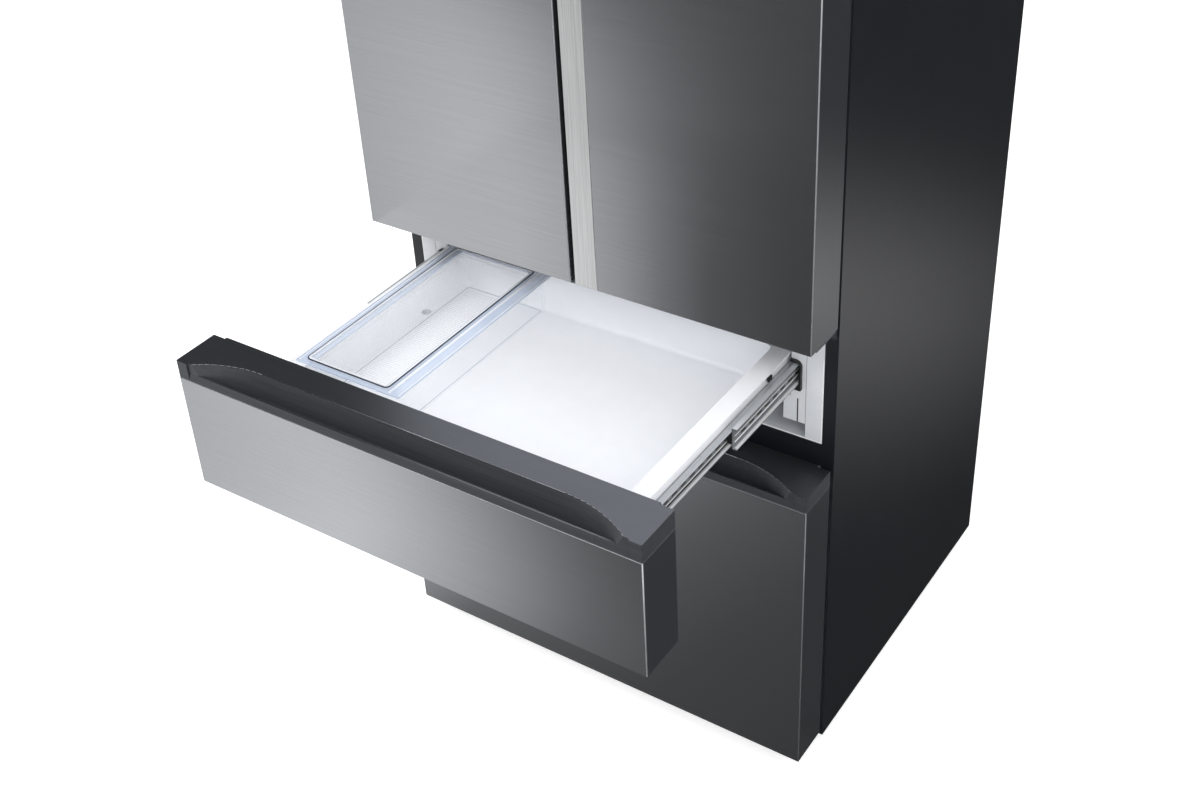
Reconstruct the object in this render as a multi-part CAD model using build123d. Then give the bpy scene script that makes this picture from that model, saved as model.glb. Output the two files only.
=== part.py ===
from build123d import *
import os
from math import sqrt

# Four-door bottom freezer refrigerator: two hinged doors over a wide drawer over a deep
# drawer.  X runs to the right seen from the front, Y runs from the front to the back and Z
# is up.  The origin is on the floor, in the middle of the width and halfway between the
# front of the pulled-out middle drawer and the back of the cabinet.  The pieces are drawn
# with the middle drawer pulled out on its stops and everything else closed.

# Cabinet
cabinet_width = 817.0
overall_depth = 745.0  # closed fronts to the back of the cabinet
cabinet_bottom = 20.0
cabinet_setback = 91.0  # closed fronts to the front edge of the cabinet
shell_sheet = 1.0
flange_width = 22.0
flange_depth = 2.0  # the front flange is folded double
back_sheet = 1.5
side_insulation = 49.5
back_insulation = 58.0
top_insulation = 50.0

# Compartments, from the base upwards
liner_wall = 2.0
base_height = 42.0
lower_height = 532.0
lower_beam = 63.0  # between the two drawers' compartments
middle_height = 183.0
upper_beam = 82.0  # between the middle compartment and the fridge compartment
fridge_height = 805.0
fridge_sill = 20.0  # height of the fridge liner's rim under its floor
fridge_head = 28.0  # height of the fridge liner's rim over its ceiling

# Machine compartment at the bottom of the back
machine_depth = 198.0
machine_height = 280.0
machine_sheet = 1.5
step_insulation = 50.0

# Fronts
door_thickness = 84.0
drawer_thickness = 79.0
front_sheet = 1.0
edge_radius = 1.6
rim_radius = 0.8
seal_gap = 0.3
fit_gap = 0.3
door_overhang = 42.0  # fridge floor down to the bottom of the doors
door_head_gap = 7.0  # top of the doors to the top of the cabinet
left_door_edge = 7.2  # middle of the cabinet to the free edge of the left door
right_door_edge = 1.7
door_cap_height = 12.0
door_seal_inset = 14.0
door_seal_width = 20.0
dyke_inset_side = 44.0
dyke_inset_end = 49.0
dyke_gap = 7.0
dyke_width = 26.0
dyke_depth = 34.0

# Silver strip on the free edge of the right door
trim_width = 40.6
trim_thickness = 3.0
trim_return = 2.0

# Door hinges
pin_inset = 20.5  # side of the cabinet to the hinge pin
pin_depth = 45.0  # closed front to the hinge pin
pin_radius = 6.0
pin_clearance = 0.05
pin_reach = 11.0
hinge_plate = 4.0
hinge_inner = 63.0
hinge_outer = 3.5
hinge_nose = 20.0
top_hinge_length = 175.0
hinge_collar_radius = 10.0
middle_hinge_drop = 4.5
middle_hinge_leg = 17.0
cover_height = 38.0
cover_wall = 2.5
cover_margin = 3.0

# Flap on the left door that bridges the gap between the two doors
flap_radius = 8.0
flap_reach = 70.0
flap_edge_inset = 24.8
flap_end_gap = 10.0
flap_ear = 6.0
flap_pin_radius = 3.0

# Door bins
bin_wall = 2.5
door_bin_depth = 104.0
door_bin_height = 110.0
door_bin_first = 60.0  # over the bottom of the raised frame
door_bin_head = 192.0  # bottom of the highest bin to the top of the raised frame
door_bin_count = 3

# Fridge compartment
shelf_thickness = 4.0
shelf_setback = 124.0
shelf_back_gap = 28.0
shelf_first = 190.0  # over the fridge floor
shelf_head = 144.0  # highest ledge to the fridge ceiling
shelf_count = 4
shelf_rest_width = 12.0
shelf_rest_height = 8.0
crisper_gap = 6.0
crisper_head_gap = 12.0
duct_width = 240.0
duct_depth = 22.0
duct_bottom_gap = 16.0
duct_top_gap = 40.0
duct_slot_width = 60.0
duct_slot_height = 6.0
duct_slot_count = 4

# Drawer fronts
drawer_opening = 453.0
lower_opening = 450.0
lower_front_drop = 23.6  # compartment floor down to the bottom of the front
lower_cap_rise = 24.8  # compartment ceiling up to the top of the handle cap
lower_cap_height = 29.3
middle_front_drop = 17.0
middle_cap_rise = 28.3
middle_cap_height = 30.5
plug_gap = 5.0  # raised middle of the inner panel to the compartment's floor and ceiling
plug_side_gap = 3.0  # raised middle to the guards beside it
plug_depth = 16.0
drawer_seal_overlap = 16.0
drawer_seal_width = 22.0
drawer_seal_foot = 13.5
lip_depth = 3.9
lip_height = 6.0
lip_inset = 23.0

# Handle scoop along the top of a drawer front
scoop_end = 20.5  # end of the scoop to the side of the front
scoop_curve = 118.0  # length of the curve at each end
scoop_depth = 37.0
scoop_floor_drop = 14.0  # bottom of the cap down to the scoop's floor
scoop_lean = 8.0  # the scoop's back wall leans forward by this much at its floor
scoop_end_lean = 26.0
scoop_floor_round = 7.0
scoop_lip_height = 13.0
scoop_lip_thickness = 6.0
scoop_lip_lean = 3.0
scoop_wall = 2.0

# Drawer bins
bin_sheet = 3.0
bin_side_gap = 60.0  # inside of the bin to the compartment's wall
bin_rim_width = 31.0
bin_rim_sheet = 3.0
bin_skirt_inset = 3.0
bin_skirt_height = 20.0
bin_front_gap = 4.0
bin_corner = 12.0
bin_floor_round = 9.0
middle_bin_depth = 69.0
middle_bin_length = 452.0
lower_bin_floor_gap = 15.0
lower_bin_back_gap = 16.0
rim_over_rail = 31.0  # middle of the slide to the top of the bin's rim
middle_rim_gap = 33.0  # rim to the ceiling
lower_rim_gap = 93.0

# Telescopic slides
slide_sheet = 1.5
slide_gap = 0.3
drawer_member_gap = 30.0  # compartment's wall to the slide's inner face
drawer_member_half = 13.0
drawer_member_depth = 10.5
drawer_member_length = 480.0
middle_member_half = 18.5
middle_member_depth = 14.0
middle_member_start = 33.0  # behind the front of the cabinet, when closed
middle_member_length = 450.0
cabinet_member_start = 4.0
cabinet_member_length = 465.0
cabinet_member_gap = 10.0  # compartment's wall to the web
slide_pad_length = 30.0
slide_slot_length = 14.0
slide_slot_height = 2.6
slide_slot_pitch = 24.0

# White guard on the compartment wall that the slide runs through
guard_sheet = 3.0
guard_foot_width = 38.0
guard_width = 26.0
guard_edge_width = 10.5
guard_under_rim = 124.0
guard_over_rim = 9.0
guard_foot_height = 46.0
guard_slot_height = 50.0
guard_slot_drop = 60.0
guard_groove = 1.4
guard_groove_inset = 14.0

# Sealed box in the middle drawer
box_wall = 2.5
box_width = 170.0
box_length = 390.0
box_side_gap = 2.5
box_back_gap = 3.0
box_flange_left = 24.5
box_flange_right = 9.5
box_flange_end = 4.0
box_flange_sheet = 2.5
box_rim_inner = 26.0  # top of the right wall to the opening under the lid
lid_left = 14.0
lid_right = 27.0
lid_end = 12.0
lid_corner = 8.0
lid_sheet = 2.5
lid_rim = 8.0

# Sliding tray in the lower drawer
tray_overlap = 23.0  # over the rim at each side
tray_height = 74.0
tray_length = 300.0

# Cooling machinery
fin_sheet = 1.0
fin_pitch = 9.0
tube_radius = 4.0
evaporator_side_gap = 97.0
evaporator_head_gap = 112.0
evaporator_depth = 54.0
evaporator_cover_gap = 81.0
evaporator_cover_sheet = 2.0
evaporator_fan_radius = 46.0
evaporator_fan_drop = 52.0  # compartment ceiling down to the fan
fan_hub_radius = 17.0
fan_hub_length = 22.0
fan_blade_sheet = 2.0
fan_blade_count = 5
fan_blade_pitch = 32.0  # degrees
fan_shaft_radius = 3.0
fan_side_gap = 4.0
condenser_width = 170.0
condenser_height = 130.0
condenser_depth = 120.0
condenser_inset = 184.5  # side of the cabinet to the condenser's middle
condenser_fan_radius = 68.0
condenser_fan_inset = 298.5
condenser_fan_rise = 120.0
fan_bracket_width = 50.0
compressor_radius = 74.0
compressor_height = 165.0
compressor_inset = 228.5
compressor_round = 34.0
compressor_foot_radius = 12.0
compressor_foot_height = 16.0
compressor_foot_spread = 95.0
compressor_plate = 3.0
pan_wall = 2.0
pan_height = 30.0
pan_margin = 12.0
louvre_count = 11
louvre_rows = 3
louvre_length = 44.0
louvre_height = 4.0
louvre_pitch_z = 60.0

# Feet and rollers
foot_radius = 19.0
foot_inset = 34.0
foot_setback = 27.0
foot_pad_height = 12.0
foot_stem_radius = 8.0
foot_stem_top = 40.0
foot_boss_radius = 13.0
foot_boss_height = 24.0
roller_radius = 15.0
roller_width = 18.0
roller_pin_radius = 4.0
roller_inset = 70.0
roller_back_gap = 60.0
roller_cheek = 2.0
roller_well_margin = 4.0

past = 1.0  # how far a cut runs out past the faces it opens

# Places worked out from the sizes above
half_width = cabinet_width / 2
lower_floor = cabinet_bottom + base_height
lower_ceiling = lower_floor + lower_height
middle_floor = lower_ceiling + lower_beam
middle_ceiling = middle_floor + middle_height
fridge_floor = middle_ceiling + upper_beam
fridge_ceiling = fridge_floor + fridge_height
cabinet_top = fridge_ceiling + top_insulation
machine_top = cabinet_bottom + machine_height
door_bottom = fridge_floor - door_overhang
door_top = cabinet_top - door_head_gap
lower_front_bottom = lower_floor - lower_front_drop
lower_cap_top = lower_ceiling + lower_cap_rise
lower_cap_bottom = lower_cap_top - lower_cap_height
middle_front_bottom = middle_floor - middle_front_drop
middle_cap_top = middle_ceiling + middle_cap_rise
middle_cap_bottom = middle_cap_top - middle_cap_height
front_y = (drawer_opening - overall_depth) / 2
cabinet_y = front_y + cabinet_setback
back_y = front_y + overall_depth
back_inner_y = back_y - back_sheet
door_back_y = front_y + door_thickness
drawer_back_y = front_y + drawer_thickness
seal_y = cabinet_y - seal_gap
inner_half = half_width - shell_sheet - side_insulation - liner_wall / 2
flange_inner = half_width - flange_width
compartment_back = back_y - back_insulation - liner_wall - back_sheet
machine_y = back_y - machine_depth
step_y = machine_y - step_insulation - liner_wall
step_top = machine_top + step_insulation + liner_wall
pin_x = half_width - pin_inset
pin_y = front_y + pin_depth
plug_y = drawer_back_y + plug_depth
scoop_length = cabinet_width - 2 * scoop_end
scoop_straight = scoop_length - 2 * scoop_curve
middle_rim = middle_ceiling - middle_rim_gap
lower_rim = lower_ceiling - lower_rim_gap
middle_slide = middle_rim - rim_over_rail
lower_slide = lower_rim - rim_over_rail
bin_half_width = inner_half - bin_side_gap
lower_bin_depth = lower_rim - lower_floor - lower_bin_floor_gap - bin_sheet
lower_bin_length = step_y - lower_bin_back_gap - plug_y - bin_front_gap
drawer_member_inner = inner_half - drawer_member_gap
cabinet_member_web = inner_half - cabinet_member_gap
guard_foot_inner = inner_half - guard_foot_width
guard_inner = inner_half - guard_width
guard_edge = inner_half - guard_edge_width
guard_groove_x = inner_half - guard_groove_inset
tray_half_width = bin_half_width + tray_overlap
evaporator_width = 2 * (inner_half - evaporator_side_gap)
evaporator_height = lower_ceiling - step_top - evaporator_head_gap
evaporator_fan_z = lower_ceiling - evaporator_fan_drop
condenser_middle = condenser_inset - half_width
condenser_fan_x = condenser_fan_inset - half_width
compressor_x = half_width - compressor_inset
shelf_pitch = (fridge_height - shelf_first - shelf_head) / (shelf_count - 1)
dyke_height = door_top - door_bottom - 2 * dyke_inset_end
door_bin_pitch = (dyke_height - door_bin_first - door_bin_head) / (door_bin_count - 1)
opened = Pos(0, -drawer_opening, 0)
half_opened = Pos(0, -drawer_opening / 2, 0)


def block(x0, x1, y0, y1, z0, z1):
    """A box between two corners."""
    centre = Pos((x0 + x1) / 2, (y0 + y1) / 2, (z0 + z1) / 2)
    return centre * Box(x1 - x0, y1 - y0, z1 - z0)


def band(half, y0, y1, z0, z1):
    """A box that is symmetric about the middle of the width."""
    return block(-half, half, y0, y1, z0, z1)


def rod(radius, start, end):
    """A round bar between two points on a line along one axis."""
    axis = Vector(end) - Vector(start)
    plane = Plane(origin=start, z_dir=axis)
    return extrude(plane * Circle(radius), amount=axis.length)


def mirrored(shape):
    """The same piece on the other side of the object."""
    return mirror(shape, about=Plane.YZ)


def pair(shape):
    """A right-hand piece with its left-hand twin, as two solids."""
    return Compound(children=[shape, mirrored(shape)])


def write(name, shape):
    """Write one sub-part."""
    export_step(shape, "parts/" + name + ".step")


def ring(x0, x1, y0, y1, z0, z1, width_x, width_z):
    """A rectangular frame that lies in the XZ plane."""
    hole = block(x0 + width_x, x1 - width_x, y0 - past, y1 + past, z0 + width_z, z1 - width_z)
    return block(x0, x1, y0, y1, z0, z1) - hole


# ---------------------------------------------------------------- cabinet


def cabinet_shell():
    """Steel wrapper: two sides and a top, with a folded flange round the front."""
    inner = half_width - shell_sheet
    body = band(half_width, cabinet_y, back_y, cabinet_bottom, cabinet_top)
    inner_top = cabinet_top - shell_sheet
    body -= band(inner, cabinet_y - past, back_y + past, cabinet_bottom - past, inner_top)
    flange_y = cabinet_y + flange_depth
    flange = band(half_width, cabinet_y, flange_y, cabinet_bottom, cabinet_top)
    top_edge = cabinet_top - flange_width
    flange -= band(flange_inner, cabinet_y - past, flange_y + past, cabinet_bottom - past, top_edge)
    return body + flange


def roller_well(side):
    """The opening in the base above one rear roller."""
    x = side * (half_width - roller_inset)
    y = back_y - roller_back_gap
    half_x = roller_width / 2 + fit_gap
    half_y = roller_radius + roller_well_margin
    top = cabinet_bottom + machine_sheet
    return block(x - half_x, x + half_x, y - half_y, y + half_y, cabinet_bottom - past, top + past)


def roller_mount(side):
    """Two cheeks under the base with the pin that carries one rear roller."""
    x = side * (half_width - roller_inset)
    y = back_y - roller_back_gap
    gap = roller_width / 2 + fit_gap
    half_y = 2 * roller_pin_radius
    low = roller_radius - half_y
    outer = block(x + gap, x + gap + roller_cheek, y - half_y, y + half_y, low, cabinet_bottom)
    inner = block(x - gap - roller_cheek, x - gap, y - half_y, y + half_y, low, cabinet_bottom)
    reach = gap + roller_cheek / 2
    pin = rod(roller_pin_radius, (x - reach, y, roller_radius), (x + reach, y, roller_radius))
    return outer + inner + pin


def foot_boss(side, radius, z0):
    """Boss on the base that a levelling foot's stem turns in, or its bore."""
    x = side * (half_width - foot_inset)
    y = cabinet_y + foot_setback
    return rod(radius, (x, y, z0), (x, y, cabinet_bottom + foot_boss_height))


def fan_bracket():
    """Upright tab on the base with the shaft that carries the condenser fan."""
    y = machine_y + machine_depth / 2
    base_z = cabinet_bottom + machine_sheet
    shaft_z = base_z + condenser_fan_rise
    x = condenser_fan_x + fan_hub_length / 2 + fan_side_gap
    half = fan_bracket_width / 2
    tab = block(x, x + machine_sheet, y - half, y + half, base_z, shaft_z + half)
    far = condenser_fan_x - fan_hub_length / 2
    return tab + rod(fan_shaft_radius, (x, y, shaft_z), (far, y, shaft_z))


def base_pan():
    """Galvanised base: floor, front upstand and the roof over the machinery."""
    inner = half_width - shell_sheet
    floor_top = cabinet_bottom + machine_sheet
    floor_y = cabinet_y + flange_depth
    pan = band(inner, floor_y, back_inner_y, cabinet_bottom, floor_top)
    rim = lower_floor - liner_wall
    pan += band(flange_inner, cabinet_y, floor_y, cabinet_bottom, rim)
    wall_y = machine_y + machine_sheet
    pan += band(inner, machine_y, wall_y, floor_top, machine_top)
    pan += band(inner, wall_y, back_inner_y, machine_top - machine_sheet, machine_top)
    pan += fan_bracket()
    for side in (-1, 1):
        pan += foot_boss(side, foot_boss_radius, cabinet_bottom)
        pan -= foot_boss(side, foot_stem_radius + pin_clearance, cabinet_bottom - past)
        pan -= roller_well(side)
        pan += roller_mount(side)
    return pan


def back_panel():
    """Sheet that closes the back above the machine compartment."""
    inner = half_width - shell_sheet
    return band(inner, back_inner_y, back_y, machine_top, cabinet_top - shell_sheet)


def louvres(y0, y1, base_z):
    """Rows of slots through a grille."""
    pitch = 2 * (half_width - shell_sheet) / (louvre_count + 1)
    cuts = []
    for row in range(louvre_rows):
        z = base_z + (row + 1) * louvre_pitch_z
        for column in range(louvre_count):
            x = (column - (louvre_count - 1) / 2) * pitch
            half = louvre_length / 2
            cuts.append(block(x - half, x + half, y0, y1, z, z + louvre_height))
    return cuts


def machine_cover():
    """Slotted cover over the machine compartment."""
    inner = half_width - shell_sheet
    cover = band(inner, back_inner_y, back_y, cabinet_bottom, machine_top)
    return cover - louvres(back_inner_y - past, back_y + past, cabinet_bottom)


def cavity(floor, ceiling, grow):
    """The space inside one compartment, grown outwards by a wall."""
    y0 = cabinet_y - past * (1 - grow / liner_wall)
    return band(inner_half + grow, y0, compartment_back + grow, floor - grow, ceiling + grow)


def lower_cavity(grow):
    """The lower compartment, shallower at the bottom where the machinery is."""
    y0 = cabinet_y - past * (1 - grow / liner_wall)
    deep = band(inner_half + grow, y0, compartment_back + grow, step_top - grow, lower_ceiling + grow)
    low = band(inner_half + grow, y0, step_y + grow, lower_floor - grow, lower_ceiling + grow)
    return deep + low


def side_rims(floor, ceiling):
    """The liner's white rims beside the compartment's mouth."""
    y1 = cabinet_y + flange_depth
    right = block(inner_half, flange_inner, cabinet_y, y1, floor - liner_wall, ceiling + liner_wall)
    return right + mirrored(right)


def slide_guard(rim):
    """White guard at the compartment's mouth, open where the slide and the bin run."""
    y0 = cabinet_y
    y1 = cabinet_y + guard_sheet
    low = rim - guard_under_rim
    foot_top = low + guard_foot_height
    slot_low = rim - guard_slot_drop
    slot_high = slot_low + guard_slot_height
    guard = block(guard_foot_inner, inner_half, y0, y1, low, foot_top)
    guard += block(guard_inner, inner_half, y0, y1, foot_top, rim + guard_over_rim)
    guard -= block(guard_inner - past, guard_edge, y0 - past, y1 + past, slot_low, slot_high)
    groove_x = guard_groove_x
    groove_top = foot_top - guard_groove
    guard -= block(groove_x, groove_x + guard_groove, y0 - past, y1 + past, low - past, groove_top)
    return guard + mirrored(guard)


def middle_liner():
    """Formed white liner of the middle compartment."""
    liner = cavity(middle_floor, middle_ceiling, liner_wall)
    liner -= cavity(middle_floor, middle_ceiling, 0)
    return liner + side_rims(middle_floor, middle_ceiling) + slide_guard(middle_rim)


def lower_liner():
    """Formed white liner of the lower compartment, with the step over the machinery."""
    liner = lower_cavity(liner_wall) - lower_cavity(0)
    return liner + side_rims(lower_floor, lower_ceiling) + slide_guard(lower_rim)


def shelf_tops():
    """Heights of the ledges that the glass shelves lie on."""
    first = fridge_floor + shelf_first
    return [first + number * shelf_pitch for number in range(shelf_count)]


def shelf_rests():
    """Ledges along both walls of the fridge compartment."""
    y0 = cabinet_y + shelf_setback
    y1 = compartment_back - shelf_back_gap
    rests = []
    for top in shelf_tops():
        inner = inner_half - shelf_rest_width
        right = block(inner, inner_half, y0, y1, top - shelf_rest_height, top)
        rests += [right, mirrored(right)]
    return rests


def fridge_liner():
    """Formed white liner of the fridge compartment, with its front rim and shelf ledges."""
    y1 = cabinet_y + flange_depth
    low = fridge_floor - fridge_sill
    high = fridge_ceiling + fridge_head
    rim = band(flange_inner, cabinet_y, y1, low, high)
    liner = rim + cavity(fridge_floor, fridge_ceiling, liner_wall)
    liner -= cavity(fridge_floor, fridge_ceiling, 0)
    return liner + shelf_rests()


def crossbeam(z0, z1):
    """Folded steel beam across the front, between two compartments."""
    y1 = cabinet_y + flange_depth
    return band(flange_inner, cabinet_y, y1, z0, z1)


def crossbeams():
    """Beams under the fridge compartment and between the two drawers."""
    upper = crossbeam(middle_ceiling + liner_wall, fridge_floor - fridge_sill)
    lower = crossbeam(lower_ceiling + liner_wall, middle_floor - liner_wall)
    return Compound(children=[upper, lower])


def cabinet_foam():
    """Insulation that fills the space between the shell and the liners."""
    inner = half_width - shell_sheet
    y0 = cabinet_y + flange_depth
    top = cabinet_top - shell_sheet
    foam = band(inner, y0, back_inner_y, cabinet_bottom + machine_sheet, top)
    foam -= cavity(fridge_floor, fridge_ceiling, liner_wall)
    foam -= cavity(middle_floor, middle_ceiling, liner_wall)
    foam -= lower_cavity(liner_wall)
    foam -= band(inner + past, machine_y, back_inner_y + past, cabinet_bottom - past, machine_top)
    for side in (-1, 1):
        foam -= foot_boss(side, foot_boss_radius, cabinet_bottom)
    guard_back = cabinet_y + guard_sheet
    if guard_back > y0:
        foam -= band(inner_half + liner_wall, y0, guard_back, lower_floor, middle_ceiling)
    return foam


def levelling_foot(side):
    """Round levelling foot on a stem that turns in the base's boss."""
    x = side * (half_width - foot_inset)
    y = cabinet_y + foot_setback
    pad = rod(foot_radius, (x, y, 0), (x, y, foot_pad_height))
    pad = fillet(pad.edges().group_by(Axis.Z)[-1], foot_pad_height / 3)
    return pad + rod(foot_stem_radius, (x, y, 0), (x, y, foot_stem_top))


def rear_roller(side):
    """One rear roller on its pin."""
    x = side * (half_width - roller_inset)
    y = back_y - roller_back_gap
    half = roller_width / 2
    wheel = rod(roller_radius, (x - half, y, roller_radius), (x + half, y, roller_radius))
    bore = roller_pin_radius + pin_clearance
    return wheel - rod(bore, (x - half - past, y, roller_radius), (x + half + past, y, roller_radius))


# ---------------------------------------------------------------- hinges


def top_hinge():
    """Plate on the cabinet's top that reaches over the door, with its pin."""
    x0 = half_width - hinge_inner
    x1 = half_width - hinge_outer
    y0 = pin_y - hinge_nose
    top = cabinet_top + hinge_plate
    plate = block(x0, x1, y0, y0 + top_hinge_length, cabinet_top, top)
    return plate + rod(pin_radius, (pin_x, pin_y, door_top - pin_reach), (pin_x, pin_y, cabinet_top))


def hinge_cover():
    """Plastic cover over the top hinge."""
    x0 = half_width - hinge_inner - cover_margin - cover_wall
    x1 = half_width
    y0 = pin_y - hinge_nose - cover_margin - cover_wall
    y1 = y0 + top_hinge_length + 2 * (cover_margin + cover_wall)
    top = cabinet_top + cover_height
    shell = block(x0, x1, y0, y1, cabinet_top, top)
    shell = fillet(shell.edges().group_by(Axis.Z)[-1], cover_margin)
    wall = cover_wall
    return shell - block(x0 + wall, x1 - wall, y0 + wall, y1 - wall, cabinet_top - past, top - wall)


def middle_hinge():
    """Angle bracket under the door with a collar and a pin that carry the door."""
    x0 = half_width - hinge_inner
    x1 = half_width - hinge_outer
    plate_top = door_bottom - middle_hinge_drop
    plate_low = plate_top - hinge_plate
    plate = block(x0, x1, pin_y - hinge_nose, cabinet_y, plate_low, plate_top)
    leg_low = plate_top - middle_hinge_leg
    leg = block(x0, x1, cabinet_y - hinge_plate, cabinet_y, leg_low, plate_top)
    collar_top = door_bottom - fit_gap
    collar = rod(hinge_collar_radius, (pin_x, pin_y, plate_top), (pin_x, pin_y, collar_top))
    pin_end = door_bottom + pin_reach
    return plate + leg + collar + rod(pin_radius, (pin_x, pin_y, plate_top), (pin_x, pin_y, pin_end))


# ---------------------------------------------------------------- doors, drawn right-handed


def door_outline(edge, trim, inset):
    """Plan of a door's steel skin, stepped back where the strip covers it."""
    y0 = front_y + inset
    x1 = half_width - inset
    y1 = door_back_y
    if not trim:
        return [(edge + inset, y0), (x1, y0), (x1, y1), (edge + inset, y1)]
    step_x = edge + trim_width + inset
    free = edge + trim_return + inset
    step_back = y0 + trim_thickness
    return [(free, step_back), (step_x, step_back), (step_x, y0), (x1, y0), (x1, y1), (free, y1)]


def upright(points, z0, z1, radius=0.0):
    """Extrude a plan upwards, with its front corners rounded."""
    face = make_face(Polyline(*points, close=True))
    if radius > 0:
        corners = [v for v in face.vertices() if v.Y < front_y + radius / 2]
        face = fillet(corners, radius)
    return Pos(0, 0, z0) * extrude(face, amount=z1 - z0, dir=(0, 0, 1))


def door_skin(edge, trim):
    """Brushed steel front with folded sides."""
    outer = upright(door_outline(edge, trim, 0), door_bottom, door_top, edge_radius)
    inside = door_outline(edge, trim, front_sheet)
    inside = [(x, y + past if y >= door_back_y else y) for x, y in inside]
    return outer - upright(inside, door_bottom - past, door_top + past)


def door_caps(edge, trim):
    """Plastic end caps at the bottom and the top, each with a hinge bore."""
    outline = door_outline(edge, trim, front_sheet)
    low = upright(outline, door_bottom, door_bottom + door_cap_height)
    high = upright(outline, door_top - door_cap_height, door_top)
    radius = pin_radius + pin_clearance
    bore = rod(radius, (pin_x, pin_y, door_bottom - past), (pin_x, pin_y, door_top + past))
    return [low - bore, high - bore]


def dyke_span(edge):
    """X range and Z range of the raised frame on a door's liner."""
    x0 = edge + dyke_inset_side
    x1 = inner_half - dyke_gap
    return x0, x1, door_bottom + dyke_inset_end, door_top - dyke_inset_end


def dyke(edge, inset):
    """The raised frame on a door's liner, or the foam inside it."""
    x0, x1, z0, z1 = dyke_span(edge)
    width = dyke_width - 2 * inset
    y0 = door_back_y - liner_wall
    y1 = door_back_y + dyke_depth - inset
    return ring(x0 + inset, x1 - inset, y0, y1, z0 + inset, z1 - inset, width, width)


def door_liner(edge, trim):
    """Formed white inner panel with its raised frame."""
    outline = door_outline(edge, trim, front_sheet)
    free = min(x for x, y in outline)
    z0 = door_bottom + door_cap_height
    z1 = door_top - door_cap_height
    y0 = door_back_y - liner_wall
    panel = block(free, half_width - front_sheet, y0, door_back_y, z0, z1)
    return panel + dyke(edge, 0) - dyke(edge, liner_wall)


def door_foam(edge, trim):
    """Insulation inside a door."""
    outline = door_outline(edge, trim, front_sheet)
    y1 = door_back_y - liner_wall
    outline = [(x, min(y, y1)) for x, y in outline]
    z0 = door_bottom + door_cap_height
    core = upright(outline, z0, door_top - door_cap_height)
    return core + dyke(edge, liner_wall)


def door_gasket(edge):
    """Magnetic seal round the back of a door."""
    x0 = edge + door_seal_inset
    z0 = door_bottom + door_seal_inset
    z1 = door_top - door_seal_inset
    width = door_seal_width
    return ring(x0, pin_x, door_back_y, seal_y, z0, z1, width, width)


def door_bin(edge, level):
    """One open bin between the sides of the raised frame."""
    x0, x1, low, high = dyke_span(edge)
    x0 += dyke_width + fit_gap
    x1 -= dyke_width + fit_gap
    z0 = door_bottom + dyke_inset_end + level
    z1 = z0 + door_bin_height
    y1 = door_back_y + door_bin_depth
    wall = bin_wall
    outer = block(x0, x1, door_back_y, y1, z0, z1)
    outer = fillet(outer.edges().filter_by(Axis.Z).group_by(Axis.Y)[-1], 3 * wall)
    return outer - block(x0 + wall, x1 - wall, door_back_y + wall, y1 - wall, z0 + wall, z1 + past)


def door_bins(edge):
    """The three bins of one door."""
    levels = [door_bin_first + number * door_bin_pitch for number in range(door_bin_count)]
    return [door_bin(edge, level) for level in levels]


def centre_trim():
    """Silver strip that wraps the free edge of the right door."""
    x0 = right_door_edge
    x1 = x0 + trim_width
    y1 = front_y + trim_thickness
    side = x0 + trim_return
    points = [(x0, front_y), (x1, front_y), (x1, y1), (side, y1), (side, door_back_y)]
    points.append((x0, door_back_y))
    return upright(points, door_bottom, door_top, edge_radius / 2)


def flap_place():
    """Pivot of the flap and its lower and upper ends."""
    x = -left_door_edge - flap_edge_inset
    y = cabinet_y + seal_gap + flap_radius
    low = fridge_floor + flap_end_gap
    return x, y, low, fridge_ceiling - flap_end_gap


def flap_ears():
    """Ears on the left door's liner that hold the flap's pins."""
    x, y, low, high = flap_place()
    dyke_x = -left_door_edge - dyke_inset_side
    radius = flap_pin_radius + pin_clearance
    ears = []
    for z0 in (low - flap_ear - fit_gap, high + fit_gap):
        ear = block(dyke_x, x + flap_radius, y - flap_radius, y + flap_radius, z0, z0 + flap_ear)
        ears.append(ear - rod(radius, (x, y, z0 - past), (x, y, z0 + flap_ear + past)))
    return ears


def mullion_flap():
    """Flap folded back against the door's edge, with a pin at each end."""
    x, y, low, high = flap_place()
    flap = block(x - flap_radius, x + flap_radius, y, y + flap_reach, low, high)
    flap += rod(flap_radius, (x, y, low), (x, y, high))
    reach = flap_ear + fit_gap
    return flap + rod(flap_pin_radius, (x, y, low - reach), (x, y, high + reach))


# ---------------------------------------------------------------- fridge compartment


def glass_shelves():
    """Glass shelves on the ledges; the lowest covers the crispers."""
    y0 = cabinet_y + shelf_setback
    y1 = compartment_back - shelf_back_gap
    half = inner_half - fit_gap
    shelves = []
    for z in shelf_tops():
        shelves.append(band(half, y0, y1, z, z + shelf_thickness))
    return shelves


def crisper_drawers():
    """Two clear crispers on the fridge floor."""
    x0 = crisper_gap / 2
    x1 = inner_half - shelf_rest_width - crisper_gap
    y0 = cabinet_y + shelf_setback
    y1 = compartment_back - shelf_back_gap
    top = fridge_floor + shelf_first - crisper_head_gap
    wall = bin_wall
    outer = block(x0, x1, y0, y1, fridge_floor, top)
    hollow = block(x0 + wall, x1 - wall, y0 + wall, y1 - wall, fridge_floor + wall, top + past)
    return pair(outer - hollow)


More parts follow.
